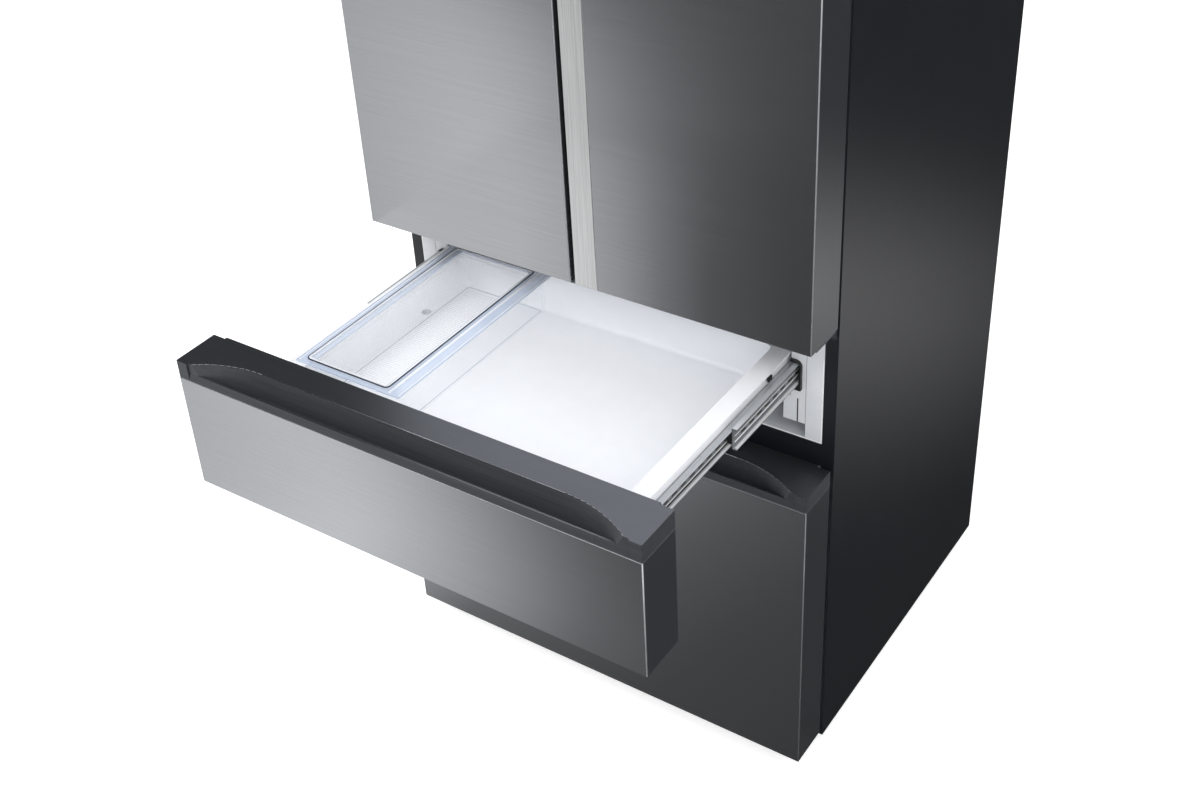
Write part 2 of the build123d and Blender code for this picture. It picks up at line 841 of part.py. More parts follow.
def air_duct():
    """Cold-air duct on the back wall with slots between the shelves."""
    half = duct_width / 2
    y0 = compartment_back - duct_depth
    z0 = fridge_floor + shelf_first + duct_bottom_gap
    z1 = fridge_ceiling - duct_top_gap
    duct = band(half, y0, compartment_back, z0, z1)
    wall = bin_wall
    duct -= band(half - wall, y0 + wall, compartment_back + past, z0 + wall, z1 - wall)
    pitch = (z1 - z0) / duct_slot_count
    for number in range(duct_slot_count):
        z = z0 + (number + 1 / 2) * pitch
        slot_half = duct_slot_width / 2
        duct -= band(slot_half, y0 - past, y0 + wall + past, z, z + duct_slot_height)
    return duct


# ---------------------------------------------------------------- drawer fronts, drawn closed


def drawer_skin(z0, z1):
    """Brushed steel front with folded sides and bottom, open at the top and the back."""
    half = half_width
    points = [(-half, front_y), (half, front_y), (half, drawer_back_y), (-half, drawer_back_y)]
    outer = upright(points, z0, z1, edge_radius)
    rim = outer.faces().sort_by(Axis.Z)[-1].edges().filter_by(Axis.X).sort_by(Axis.Y)[0]
    outer = fillet(rim, rim_radius)
    sheet = front_sheet
    return outer - band(half - sheet, front_y + sheet, drawer_back_y + past, z0 + sheet, z1 + past)


def scoop_plan(z, depth, half_length, half_straight):
    """Level section of the handle scoop: a straight back with an arc at each end."""
    back = front_y + depth
    start = front_y - scoop_wall
    right = TangentArc((half_straight, back), (half_length, start), tangent=(1, 0))
    left = TangentArc((-half_straight, back), (-half_length, start), tangent=(-1, 0))
    straight = Line((-half_straight, back), (half_straight, back))
    front = Line((-half_length, start), (half_length, start))
    return Pos(0, 0, z) * make_face([right, left, straight, front])


def scoop(cap_bottom, cap_top, grow):
    """The space of the scoop, or the tub round it that is a wall thicker."""
    half_length = scoop_length / 2
    half_straight = scoop_straight / 2
    floor = cap_bottom - scoop_floor_drop - grow
    depth = scoop_depth + grow
    top = scoop_plan(cap_top + scoop_wall, depth, half_length + grow, half_straight)
    low_length = half_length - scoop_end_lean + grow
    low_straight = half_straight - scoop_end_lean
    low = scoop_plan(floor, depth - scoop_lean, low_length, low_straight)
    space = loft([low, top], ruled=True)
    space = fillet(space.faces().sort_by(Axis.Z)[0].edges(), scoop_floor_round)
    lip_y = front_y + scoop_lip_thickness - grow
    reach = half_length + scoop_wall
    lip_top = cap_bottom + scoop_lip_height
    return space - band(reach, front_y - 2 * scoop_wall, lip_y, floor - past, lip_top)


def lip_front(cap_bottom, cap_top):
    """The space in front of the scoop's leaning lip."""
    low = cap_bottom + scoop_wall
    lip_top = cap_bottom + scoop_lip_height
    high = cap_top + past
    start = front_y - past
    lean = front_y + scoop_lip_lean
    points = [(start, low), (front_y, low), (lean, lip_top), (lean, high), (start, high)]
    face = Plane.YZ * make_face(Polyline(*points, close=True))
    return extrude(face, amount=scoop_length / 2, both=True)


def handle_cap(cap_bottom, cap_top):
    """Cap along the top of a drawer front, scooped out as a handle over its whole length."""
    half = half_width
    points = [(-half, front_y), (half, front_y), (half, drawer_back_y), (-half, drawer_back_y)]
    cap = upright(points, cap_bottom, cap_top, edge_radius)
    lip_half = half - lip_inset
    cap += band(lip_half, drawer_back_y, drawer_back_y + lip_depth, cap_top - lip_height, cap_top)
    tub = scoop(cap_bottom, cap_top, scoop_wall)
    inside = half - front_sheet - fit_gap
    below = cap_bottom - scoop_floor_drop - scoop_wall
    room = band(inside, front_y + front_sheet + fit_gap, drawer_back_y, below, cap_bottom)
    cap += tub & room
    cap -= scoop(cap_bottom, cap_top, 0)
    cap -= lip_front(cap_bottom, cap_top)
    return cap


def plug(z0, z1, inset):
    """The raised middle of a drawer's inner panel, or the foam inside it."""
    half = guard_foot_inner - plug_side_gap - inset
    y0 = drawer_back_y - liner_wall - past
    return band(half, y0, plug_y - inset, z0 + plug_gap + inset, z1 - plug_gap - inset)


def inner_panel(z0, z1, floor, ceiling):
    """White inner panel of a drawer front, raised where it enters the compartment."""
    half = half_width - front_sheet
    y0 = drawer_back_y - liner_wall
    panel = band(half, y0, drawer_back_y, z0 + front_sheet, z1)
    panel += plug(floor, ceiling, 0)
    panel -= plug(floor, ceiling, liner_wall)
    return panel - band(half + past, y0 - 2 * past, y0, z0, z1)


def front_foam(z0, cap_bottom, floor, ceiling):
    """Insulation inside a drawer front."""
    half = half_width - front_sheet
    sheet = front_sheet
    y1 = drawer_back_y - liner_wall
    foam = band(half, front_y + sheet, y1, z0 + sheet, cap_bottom)
    foam += plug(floor, ceiling, liner_wall)
    return foam - scoop(cap_bottom, cap_bottom + scoop_lip_height, scoop_wall)


def drawer_gasket(floor, ceiling):
    """Magnetic seal round the back of a drawer front."""
    side = flange_inner - fit_gap
    inner = side - drawer_seal_width
    low = floor - liner_wall
    high = ceiling + liner_wall
    foot = low - drawer_seal_foot
    head = high + drawer_seal_overlap
    seal = band(side, drawer_back_y, seal_y, foot, head)
    return seal - band(inner, drawer_back_y - past, seal_y + past, low, high)


# ---------------------------------------------------------------- drawer bins and slides


def drawer_bin(rim, depth, length):
    """White bin with a flat rim whose skirt stands on the slides."""
    half = bin_half_width
    y0 = plug_y + bin_front_gap
    y1 = y0 + length
    wall = bin_sheet
    low = rim - depth
    tub = band(half + wall, y0, y1, low - wall, rim)
    tub = fillet(tub.edges().filter_by(Axis.Z), bin_corner + wall)
    under = rim - bin_rim_sheet
    tub += band(half + bin_rim_width, y0, y1, under, rim)
    skirt_x = half + bin_rim_width - bin_skirt_inset
    skirt_low = rim - bin_rim_sheet - bin_skirt_height
    skirt = block(skirt_x - wall, skirt_x, y0, y1, skirt_low, under)
    tub += skirt
    tub += mirrored(skirt)
    hollow = band(half, y0 + wall, y1 - wall, low, rim + past)
    hollow = fillet(hollow.edges().filter_by(Axis.Z), bin_corner)
    hollow = fillet(hollow.faces().sort_by(Axis.Z)[0].edges(), bin_floor_round)
    return tub - hollow


def slot_row(x0, x1, y0, length, z):
    """A row of slots along the web of a slide member."""
    count = int((length - 2 * slide_slot_pitch) / slide_slot_pitch)
    half = slide_slot_height / 2
    cuts = []
    for number in range(count):
        y = y0 + (number + 1) * slide_slot_pitch
        cuts.append(block(x0, x1, y, y + slide_slot_length, z - half, z + half))
    return cuts


def drawer_member(z, rim):
    """Slide member on the drawer: a channel open to the outside with a shelf for the bin."""
    x0 = drawer_member_inner
    x1 = x0 + drawer_member_depth
    half = drawer_member_half
    y0 = drawer_back_y
    y1 = y0 + drawer_member_length
    sheet = slide_sheet
    member = block(x0, x1, y0, y1, z - half, z + half)
    member -= block(x0 + sheet, x1 + past, y0 - past, y1 + past, z - half + sheet, z + half - sheet)
    shelf_top = rim - bin_rim_sheet - bin_skirt_height
    shelf_x = bin_half_width + bin_sheet + fit_gap
    shelf_y0 = plug_y + bin_front_gap
    shelf_y1 = min(y1, shelf_y0 + lower_bin_length)
    member += block(shelf_x, x0, shelf_y0, shelf_y1, shelf_top - sheet, shelf_top)
    return member - slot_row(x0 - past, x0 + sheet + past, y0, drawer_member_length, z)


def middle_member(z):
    """Slide member between the drawer's and the cabinet's, as a bar with a channel behind."""
    sheet = slide_sheet
    bar_x = drawer_member_inner + sheet + slide_gap
    web_x = drawer_member_inner + drawer_member_depth + slide_gap
    x1 = drawer_member_inner + drawer_member_depth + slide_gap + sheet + middle_member_depth / 2
    bar_half = drawer_member_half - sheet - slide_gap
    half = middle_member_half
    y0 = cabinet_y + middle_member_start
    y1 = y0 + middle_member_length
    member = block(bar_x, web_x, y0, y1, z - bar_half, z + bar_half)
    bar_back = web_x - sheet
    inside = bar_half - sheet
    member -= block(bar_x - past, bar_back, y0 - past, y1 + past, z - inside, z + inside)
    member += block(web_x, x1, y0, y1, z - half, z + half)
    member -= block(web_x + sheet, x1 + past, y0 - past, y1 + past, z - half + sheet, z + half - sheet)
    return member - slot_row(bar_back - past, web_x + sheet + past, y0, middle_member_length, z)


def cabinet_member(z):
    """Slide member on the compartment's wall, with the pads that carry it."""
    sheet = slide_sheet
    web = cabinet_member_web
    half = middle_member_half - sheet - slide_gap
    x0 = drawer_member_inner + drawer_member_depth + 2 * slide_gap + sheet
    y0 = cabinet_y + cabinet_member_start
    y1 = y0 + cabinet_member_length
    member = block(x0, web + sheet, y0, y1, z - half, z + half)
    member -= block(x0 - past, web, y0 - past, y1 + past, z - half + sheet, z + half - sheet)
    middle = (y0 + y1) / 2
    for y in (y0, middle, y1 - slide_pad_length):
        pad = block(web + sheet, inner_half, y, y + slide_pad_length, z - half, z + half)
        member += pad
    return member


def cabinet_rails():
    """The four slide members that stay on the cabinet."""
    members = []
    for z in (middle_slide, lower_slide):
        member = cabinet_member(z)
        members += [member, mirrored(member)]
    return members


# ---------------------------------------------------------------- sealed box and tray


def box_span():
    """X range and Y range of the sealed box's walls, at the left end of the bin."""
    x0 = -bin_half_width + box_side_gap
    y1 = plug_y + bin_front_gap + middle_bin_length - bin_sheet - box_back_gap
    return x0, x0 + box_width, y1 - box_length, y1


def box_opening(gap):
    """X range and Y range of the opening under the lid, or of a rim inside it."""
    x0, x1, y0, y1 = box_span()
    end = lid_end - box_flange_end + gap
    return x0 + box_wall + gap, x1 - box_rim_inner - gap, y0 + end, y1 - end


def rounded(x0, x1, y0, y1, z0, z1, radius):
    """A box with rounded upright edges."""
    return fillet(block(x0, x1, y0, y1, z0, z1).edges().filter_by(Axis.Z), radius)


def sealed_box():
    """Clear box with a broad flat flange, standing on the bin's floor."""
    x0, x1, y0, y1 = box_span()
    floor = middle_rim - middle_bin_depth + fit_gap
    under = middle_rim + fit_gap
    top = under + box_flange_sheet
    wall = box_wall
    end = box_flange_end
    tub = rounded(x0, x1, y0, y1, floor, under, bin_corner)
    tub = fillet(tub.faces().sort_by(Axis.Z)[0].edges(), bin_floor_round)
    inside = (x0 + wall, x1 - wall, y0 + wall, y1 - wall)
    hollow = rounded(*inside, floor + wall, under, bin_corner - wall)
    tub -= fillet(hollow.faces().sort_by(Axis.Z)[0].edges(), bin_floor_round - wall)
    tub += block(x0 - box_flange_left, x1 + box_flange_right, y0 - end, y1 + end, under, top)
    return tub - rounded(*box_opening(0), under - past, top + past, lid_corner)


def sealed_box_lid():
    """Clear lid that lies on the box's flange, with a rim that drops into its opening."""
    x0, x1, y0, y1 = box_span()
    low = middle_rim + fit_gap + box_flange_sheet
    left = x0 - box_flange_left + lid_left
    right = x1 + box_flange_right - lid_right
    end = lid_end - box_flange_end
    top = low + lid_sheet
    lid = rounded(left, right, y0 + end - lid_rim / 2, y1 - end + lid_rim / 2, low, top, lid_corner)
    rim = rounded(*box_opening(fit_gap), low - lid_rim, low, lid_corner - fit_gap)
    wall = box_wall + fit_gap
    return lid + rim - rounded(*box_opening(wall), low - lid_rim - past, low, lid_corner - wall)


def lower_tray():
    """Sliding tray on the rims of the lower drawer's bin."""
    y0 = plug_y + bin_front_gap + fit_gap
    y1 = y0 + tray_length
    z0 = lower_rim + fit_gap
    wall = bin_wall
    half = tray_half_width
    tray = band(half, y0, y1, z0, z0 + tray_height)
    tray = fillet(tray.edges().filter_by(Axis.Z), bin_corner)
    hollow = band(half - wall, y0 + wall, y1 - wall, z0 + wall, z0 + tray_height + past)
    return tray - fillet(hollow.edges().filter_by(Axis.Z), bin_corner - wall)


# ---------------------------------------------------------------- cooling machinery


def coil(x0, x1, y0, y1, z0, z1):
    """Fins on a bank of tubes, with an end plate at each side."""
    plates = []
    count = int((x1 - x0) / fin_pitch)
    for number in range(count + 1):
        x = x0 + number * (x1 - x0 - fin_sheet) / count
        plates.append(block(x, x + fin_sheet, y0, y1, z0, z1))
    rows = 3
    for column in (1 / 4, 3 / 4):
        y = y0 + column * (y1 - y0)
        for row in range(rows):
            z = z0 + (row + 1 / 2) * (z1 - z0) / rows
            plates.append(rod(tube_radius, (x0, y, z), (x1, y, z)))
    return plates[0].fuse(*plates[1:])


def evaporator():
    """Finned coil that stands on the liner's step, behind its cover."""
    y1 = compartment_back - liner_wall
    half = evaporator_width / 2
    top = step_top + evaporator_height
    return coil(-half, half, y1 - evaporator_depth, y1, step_top, top)


def evaporator_cover():
    """White panel in front of the evaporator with the shaft that carries its fan."""
    y0 = compartment_back - evaporator_cover_gap
    y1 = y0 + evaporator_cover_sheet
    panel = band(inner_half - fit_gap, y0, y1, step_top, lower_ceiling - fit_gap)
    z = evaporator_fan_z
    end = y1 + fan_side_gap + fan_hub_length
    return panel + rod(fan_shaft_radius, (0, y1, z), (0, end, z))


def fan(radius):
    """Fan on the Z axis: a bored hub with twisted flat blades."""
    hub = Cylinder(fan_hub_radius, fan_hub_length)
    span = radius - fan_hub_radius / 2
    chord = fan_hub_length * sqrt(2)
    blade = Box(span, fan_blade_sheet, chord)
    blade = Pos(fan_hub_radius / 2 + span / 2, 0, 0) * (Rot(fan_blade_pitch, 0, 0) * blade)
    limit = Cylinder(radius, fan_hub_length)
    for number in range(fan_blade_count):
        hub += limit & (Rot(0, 0, number * 360 / fan_blade_count) * blade)
    return hub - Cylinder(fan_shaft_radius + pin_clearance, fan_hub_length + 2 * past)


def evaporator_fan():
    """Fan that blows the cold air off the evaporator."""
    y = compartment_back - evaporator_cover_gap + evaporator_cover_sheet + fan_side_gap
    place = Pos(0, y + fan_hub_length / 2, evaporator_fan_z)
    return place * (Rot(90, 0, 0) * fan(evaporator_fan_radius))


def condenser_fan():
    """Fan that blows room air through the condenser."""
    z = cabinet_bottom + machine_sheet + condenser_fan_rise
    place = Pos(condenser_fan_x, machine_y + machine_depth / 2, z)
    return place * (Rot(0, 90, 0) * fan(condenser_fan_radius))


def drain_span():
    """X range and Y range of the drain pan."""
    half = condenser_width / 2 + pan_margin
    y = machine_y + machine_depth / 2
    deep = condenser_depth / 2 + pan_margin
    return condenser_middle - half, condenser_middle + half, y - deep, y + deep


def drain_pan():
    """Pan on the base that catches melt water under the condenser."""
    x0, x1, y0, y1 = drain_span()
    z0 = cabinet_bottom + machine_sheet
    wall = pan_wall
    outer = block(x0, x1, y0, y1, z0, z0 + pan_height)
    return outer - block(x0 + wall, x1 - wall, y0 + wall, y1 - wall, z0 + wall, z0 + pan_height + past)


def condenser():
    """Finned coil that stands in the drain pan."""
    y = machine_y + machine_depth / 2
    half = condenser_width / 2
    deep = condenser_depth / 2
    z0 = cabinet_bottom + machine_sheet + pan_wall
    x0 = condenser_middle - half
    return coil(x0, x0 + condenser_width, y - deep, y + deep, z0, z0 + condenser_height)


def compressor():
    """Welded compressor shell on a plate with four feet."""
    y = machine_y + machine_depth / 2
    base = cabinet_bottom + machine_sheet
    plate_z = base + compressor_foot_height
    low = plate_z + compressor_plate
    shell = rod(compressor_radius, (compressor_x, y, low), (compressor_x, y, low + compressor_height))
    shell = fillet(shell.edges().filter_by(GeomType.CIRCLE), compressor_round)
    spread = compressor_foot_spread
    deep = spread - compressor_foot_radius
    plate = block(compressor_x - spread, compressor_x + spread, y - deep, y + deep, plate_z, low)
    body = shell + plate
    for side_x in (-1, 1):
        for side_y in (-1, 1):
            x = compressor_x + side_x * (spread - compressor_foot_radius)
            foot_y = y + side_y * (deep - compressor_foot_radius)
            body += rod(compressor_foot_radius, (x, foot_y, base), (x, foot_y, plate_z))
    return body


# ---------------------------------------------------------------- assembly


def write_cabinet():
    """Pieces that stay with the cabinet."""
    write("cabinet_shell", cabinet_shell())
    write("base_pan", base_pan())
    write("back_panel", back_panel())
    write("machine_cover", machine_cover())
    write("cabinet_foam", cabinet_foam())
    write("fridge_liner", fridge_liner())
    write("middle_liner", middle_liner())
    write("lower_liner", lower_liner())
    write("crossbeams", crossbeams())
    write("top_hinges", pair(top_hinge()))
    write("hinge_covers", pair(hinge_cover()))
    write("middle_hinges", pair(middle_hinge()))
    write("cabinet_rails", Compound(children=cabinet_rails()))
    write("glass_shelves", Compound(children=glass_shelves()))
    write("crisper_drawers", crisper_drawers())
    write("air_duct", air_duct())


def write_machinery():
    """Pieces of the cooling circuit, the fans and the rollers."""
    write("evaporator", evaporator())
    write("evaporator_cover", evaporator_cover())
    write("evaporator_fan", evaporator_fan())
    write("condenser", condenser())
    write("condenser_fan", condenser_fan())
    write("compressor", compressor())
    write("drain_pan", drain_pan())
    for side, name in ((-1, "left"), (1, "right")):
        write("levelling_foot_" + name, levelling_foot(side))
        write("rear_roller_" + name, rear_roller(side))


def write_doors():
    """The two hinged doors and the flap between them."""
    edge = left_door_edge
    write("left_door_skin", mirrored(door_skin(edge, False)))
    write("left_door_foam", mirrored(door_foam(edge, False)))
    write("left_door_liner", mirrored(door_liner(edge, False)) + flap_ears())
    write("left_door_gasket", mirrored(door_gasket(edge)))
    write("left_door_caps", Compound(children=[mirrored(cap) for cap in door_caps(edge, False)]))
    write("left_door_bins", Compound(children=[mirrored(one) for one in door_bins(edge)]))
    write("mullion_flap", mullion_flap())
    edge = right_door_edge
    write("right_door_skin", door_skin(edge, True))
    write("right_door_foam", door_foam(edge, True))
    write("right_door_liner", door_liner(edge, True))
    write("right_door_gasket", door_gasket(edge))
    write("right_door_caps", Compound(children=door_caps(edge, True)))
    write("right_door_bins", Compound(children=door_bins(edge)))
    write("centre_trim", centre_trim())


def write_middle_drawer():
    """The middle drawer, pulled out on its stops."""
    z0 = middle_front_bottom
    z1 = middle_cap_bottom
    floor = middle_floor
    ceiling = middle_ceiling
    write("middle_front_panel", opened * drawer_skin(z0, z1))
    write("middle_handle_cap", opened * handle_cap(z1, middle_cap_top))
    write("middle_front_foam", opened * front_foam(z0, z1, floor, ceiling))
    write("middle_inner_panel", opened * inner_panel(z0, z1, floor, ceiling))
    write("middle_gasket", opened * drawer_gasket(floor, ceiling))
    write("middle_bin", opened * drawer_bin(middle_rim, middle_bin_depth, middle_bin_length))
    write("middle_drawer_rails", opened * pair(drawer_member(middle_slide, middle_rim)))
    write("middle_slide_members", half_opened * pair(middle_member(middle_slide)))
    write("sealed_box", opened * sealed_box())
    write("sealed_box_lid", opened * sealed_box_lid())


def write_lower_drawer():
    """The lower drawer, closed."""
    z0 = lower_front_bottom
    z1 = lower_cap_bottom
    floor = lower_floor
    ceiling = lower_ceiling
    write("lower_front_panel", drawer_skin(z0, z1))
    write("lower_handle_cap", handle_cap(z1, lower_cap_top))
    write("lower_front_foam", front_foam(z0, z1, floor, ceiling))
    write("lower_inner_panel", inner_panel(z0, z1, floor, ceiling))
    write("lower_gasket", drawer_gasket(floor, ceiling))
    write("lower_bin", drawer_bin(lower_rim, lower_bin_depth, lower_bin_length))
    write("lower_drawer_rails", pair(drawer_member(lower_slide, lower_rim)))
    write("lower_slide_members", pair(middle_member(lower_slide)))
    write("lower_tray", lower_tray())


os.makedirs("parts", exist_ok=True)
write_cabinet()
write_machinery()
write_doors()
write_middle_drawer()
write_lower_drawer()
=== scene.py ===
import math

import bmesh
import bpy
from mathutils import Matrix, Vector


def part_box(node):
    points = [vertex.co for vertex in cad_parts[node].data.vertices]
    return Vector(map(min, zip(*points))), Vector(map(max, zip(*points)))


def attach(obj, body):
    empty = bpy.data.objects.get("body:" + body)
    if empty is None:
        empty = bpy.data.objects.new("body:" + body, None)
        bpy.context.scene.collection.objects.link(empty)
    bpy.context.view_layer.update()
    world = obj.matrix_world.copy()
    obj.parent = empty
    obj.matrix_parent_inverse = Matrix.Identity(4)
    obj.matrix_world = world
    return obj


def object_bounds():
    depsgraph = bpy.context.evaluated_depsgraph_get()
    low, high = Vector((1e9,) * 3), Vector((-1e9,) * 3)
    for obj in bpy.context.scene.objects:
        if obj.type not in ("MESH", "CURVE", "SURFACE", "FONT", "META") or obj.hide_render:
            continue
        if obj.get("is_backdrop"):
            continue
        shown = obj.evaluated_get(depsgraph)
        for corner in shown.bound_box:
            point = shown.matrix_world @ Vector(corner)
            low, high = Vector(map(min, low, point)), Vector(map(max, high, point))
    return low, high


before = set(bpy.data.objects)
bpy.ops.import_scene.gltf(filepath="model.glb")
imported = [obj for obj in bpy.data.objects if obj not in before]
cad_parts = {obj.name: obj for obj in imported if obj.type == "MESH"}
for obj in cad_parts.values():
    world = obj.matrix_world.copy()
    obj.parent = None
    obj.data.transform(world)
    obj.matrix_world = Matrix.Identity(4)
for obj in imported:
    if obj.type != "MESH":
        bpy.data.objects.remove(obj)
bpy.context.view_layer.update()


# Cabinet wrapper and the beams across its front.  Folded sheet steel, powder coated in a
# satin charcoal after forming, so the sides, the top and the folded front flange are one
# colour.  The coat's fine orange-peel breaks up every highlight a little.

def linear_colour(code, alpha=1.0):
    """An sRGB hex colour as linear RGBA."""
    parts = []
    for start in (1, 3, 5):
        value = int(code[start:start + 2], 16) / 255
        parts.append(value / 12.92 if value <= 0.04045 else ((value + 0.055) / 1.055) ** 2.4)
    return (*parts, alpha)


def add_node(tree, kind, settings=None, links=None):
    """One shader node: settings are its options, links its inputs, linked or plain."""
    made = tree.nodes.new(kind)
    for name, value in (settings or {}).items():
        setattr(made, name, value)
    for socket, value in (links or {}).items():
        if isinstance(value, bpy.types.NodeSocket):
            tree.links.new(value, made.inputs[socket])
        else:
            made.inputs[socket].default_value = value
    return made


def maths(tree, operation, *values):
    """The outcome of one arithmetic step on linked or plain values."""
    step = add_node(tree, "ShaderNodeMath", {"operation": operation}, dict(enumerate(values)))
    return step.outputs[0]


def blend(tree, kind, share, first, second):
    """Two colours (kind RGBA) or two numbers (kind FLOAT), mixed by a share."""
    sockets, output = {"RGBA": ((0, 6, 7), 2), "FLOAT": ((0, 2, 3), 0)}[kind]
    mix = add_node(tree, "ShaderNodeMix", {"data_type": kind},
                   dict(zip(sockets, (share, first, second))))
    return mix.outputs[output]


def finish(name, dark, light, grain_mm, gloss, surface, stretch=(1, 1, 1), relief_mm=0.0,
           mottle_mm=0.0, facing=None):
    """A surface whose colour, gloss and relief vary over a grain of a real size.

    facing is (axis, dark, light, metallic): faces turned to that axis get these colours and this
    metalness instead; it gives the folded door sides their dark paint, and the zinc slides and
    handle caps a painted highlight on faces turned up or down.
    """
    made = bpy.data.materials.new(name)
    made.use_nodes = True
    tree = made.node_tree
    shader = tree.nodes["Principled BSDF"]
    for socket, value in surface.items():
        shader.inputs[socket].default_value = value
    place = add_node(tree, "ShaderNodeTexCoord")
    fine = add_node(tree, "ShaderNodeMapping", None,
                    {"Vector": place.outputs["Object"], "Scale": stretch})
    grain = add_node(tree, "ShaderNodeTexNoise", None, {
        "Vector": fine.outputs["Vector"], "Scale": 1000 / grain_mm, "Detail": 2.0,
        "Roughness": 0.55})
    broad = add_node(tree, "ShaderNodeTexNoise", None, {
        "Vector": fine.outputs["Vector"], "Scale": 1000 / (mottle_mm or 12 * grain_mm),
        "Detail": 3.0})
    shade = blend(tree, "FLOAT", 0.45, grain.outputs["Fac"], broad.outputs["Fac"])
    ramp = add_node(tree, "ShaderNodeValToRGB", None, {"Fac": shade})
    ramp.color_ramp.elements[0].position = 0.36
    ramp.color_ramp.elements[0].color = linear_colour(dark)
    ramp.color_ramp.elements[1].position = 0.64
    ramp.color_ramp.elements[1].color = linear_colour(light)
    colour = ramp.outputs["Color"]
    if facing:
        axis, other_dark, other_light, other_metal = facing
        axes = add_node(tree, "ShaderNodeSeparateXYZ", None, {"Vector": place.outputs["Normal"]})
        turn = maths(tree, "ABSOLUTE", axes.outputs[axis])
        metal = shader.inputs["Metallic"].default_value
        part = add_node(tree, "ShaderNodeMapRange", None, {
            "Value": turn, "From Min": 0.75, "From Max": 0.95})
        other = blend(tree, "RGBA", shade, linear_colour(other_dark), linear_colour(other_light))
        colour = blend(tree, "RGBA", part.outputs["Result"], colour, other)
        metals = add_node(tree, "ShaderNodeMapRange", None, {
            "Value": part.outputs["Result"], "To Min": metal, "To Max": other_metal})
        tree.links.new(metals.outputs["Result"], shader.inputs["Metallic"])
    tree.links.new(colour, shader.inputs["Base Color"])
    rough = add_node(tree, "ShaderNodeMapRange", None, {
        "Value": grain.outputs["Fac"], "From Min": 0.3, "From Max": 0.7, "To Min": gloss[0],
        "To Max": gloss[1]})
    tree.links.new(rough.outputs["Result"], shader.inputs["Roughness"])
    if relief_mm:
        bump = add_node(tree, "ShaderNodeBump", None, {
            "Height": grain.outputs["Fac"], "Distance": relief_mm / 1000, "Strength": 0.6})
        tree.links.new(bump.outputs["Normal"], shader.inputs["Normal"])
    return made


def dress(material, *names):
    """Give CAD nodes their material."""
    for name in names:
        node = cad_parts[name]
        node.data.materials.clear()
        node.data.materials.append(material)


# Satin powder coat; real orange-peel waves are 2 to 4 mm across and a few microns high.
charcoal_coat = finish("charcoal_powder_coat", "#17191E", "#1B1D22", 3.0, (0.28, 0.34),
                       {"IOR": 1.5}, relief_mm=0.012, mottle_mm=60)
dress(charcoal_coat, "cabinet_shell", "crossbeams")

# Back panel, base and the slotted cover over the machinery.  The sheets are galvanised and
# left bare; the zinc shows as a pale grey with faint spangles.  Pressed beads stiffen the
# back, and pan-head screws hold its edges and the black moulded cover.

galvanised = finish("galvanised_sheet", "#84888C", "#A6AAAE", 14.0, (0.36, 0.52),
                    {"Metallic": 1.0}, relief_mm=0.02)
dress(galvanised, "base_pan", "back_panel")
# Moulded cover; spark-eroded texture of about 1 mm that scatters the light evenly.
black_moulding = finish("textured_black_polypropylene", "#1E1F22", "#292A2D", 1.2, (0.48, 0.62),
                        {"IOR": 1.49}, relief_mm=0.05)
dress(black_moulding, "machine_cover")


def placed(name, data):
    """A new object of the scene that holds a mesh, a light or a camera."""
    made = bpy.data.objects.new(name, data)
    bpy.context.scene.collection.objects.link(made)
    return made


def solid_piece(name, points, faces, material, body, smooth=False):
    """A piece of the object as one mesh, riding on a body."""
    mesh = bpy.data.meshes.new(name)
    mesh.from_pydata([tuple(point) for point in points], [], faces)
    mesh.materials.append(material)
    made = placed(name, mesh)
    shape = bmesh.new()
    shape.from_mesh(mesh)
    bmesh.ops.recalc_face_normals(shape, faces=shape.faces)
    for face in shape.faces:
        face.smooth = smooth
    shape.to_mesh(mesh)
    shape.free()
    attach(made, body)
    return made


def turned(places, axis, profile, sides=20):
    """Points and faces of heads turned about an axis, from a (radius, height) profile."""
    axis = Vector(axis).normalized()
    across = axis.orthogonal().normalized()
    other = axis.cross(across)
    points, faces = [], []
    for place in places:
        rings = []
        for radius, height in profile:
            rings.append(range(len(points), len(points) + sides))
            for step in range(sides):
                turn = 2 * math.pi * step / sides
                out = across * math.cos(turn) + other * math.sin(turn)
                points.append(Vector(place) + out * radius + axis * height)
        for low, high in zip(rings, rings[1:]):
            for step in range(sides):
                after = (step + 1) % sides
                faces.append((low[step], low[after], high[after], high[step]))
        faces.append(tuple(rings[0])[::-1])
        faces.append(tuple(rings[-1]))
    return points, faces


# Zinc-plated pan heads, 8 mm across and 2.6 mm high, with a recess for the driver.
plated_screw = finish("zinc_plated_screw", "#8E9195", "#B4B7BB", 2.0, (0.25, 0.4),
                      {"Metallic": 1.0})
pan_head = [(0.0042, -0.0004), (0.0042, 0.0006), (0.0038, 0.0017), (0.0026, 0.0025),
            (0.0015, 0.0026), (0.0014, 0.0012)]
low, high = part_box("back_panel")
back_y = high[1]
screws = []
side_count, first_up, side_inset = 7, 0.03, 0.009
for count in range(side_count):
    z = low[2] + first_up + count * (high[2] - low[2] - 2 * first_up) / (side_count - 1)
    screws += [(low[0] + side_inset, back_y, z), (high[0] - side_inset, back_y, z)]
end_count, first_across, end_inset = 4, 0.13, 0.012
for count in range(end_count):
    x = low[0] + first_across + count * (high[0] - low[0] - 2 * first_across) / (end_count - 1)
    screws += [(x, back_y, high[2] - end_inset), (x, back_y, low[2] + end_inset)]
cover_low, cover_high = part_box("machine_cover")
cover_inset = 0.014
for x in (cover_low[0] + cover_inset, 0.0, cover_high[0] - cover_inset):
    screws += [(x, back_y, cover_high[2] - cover_inset), (x, back_y, cover_low[2] + cover_inset)]
solid_piece("back_screws", *turned(screws, (0, 1, 0), pan_head), plated_screw, "cabinet", True)


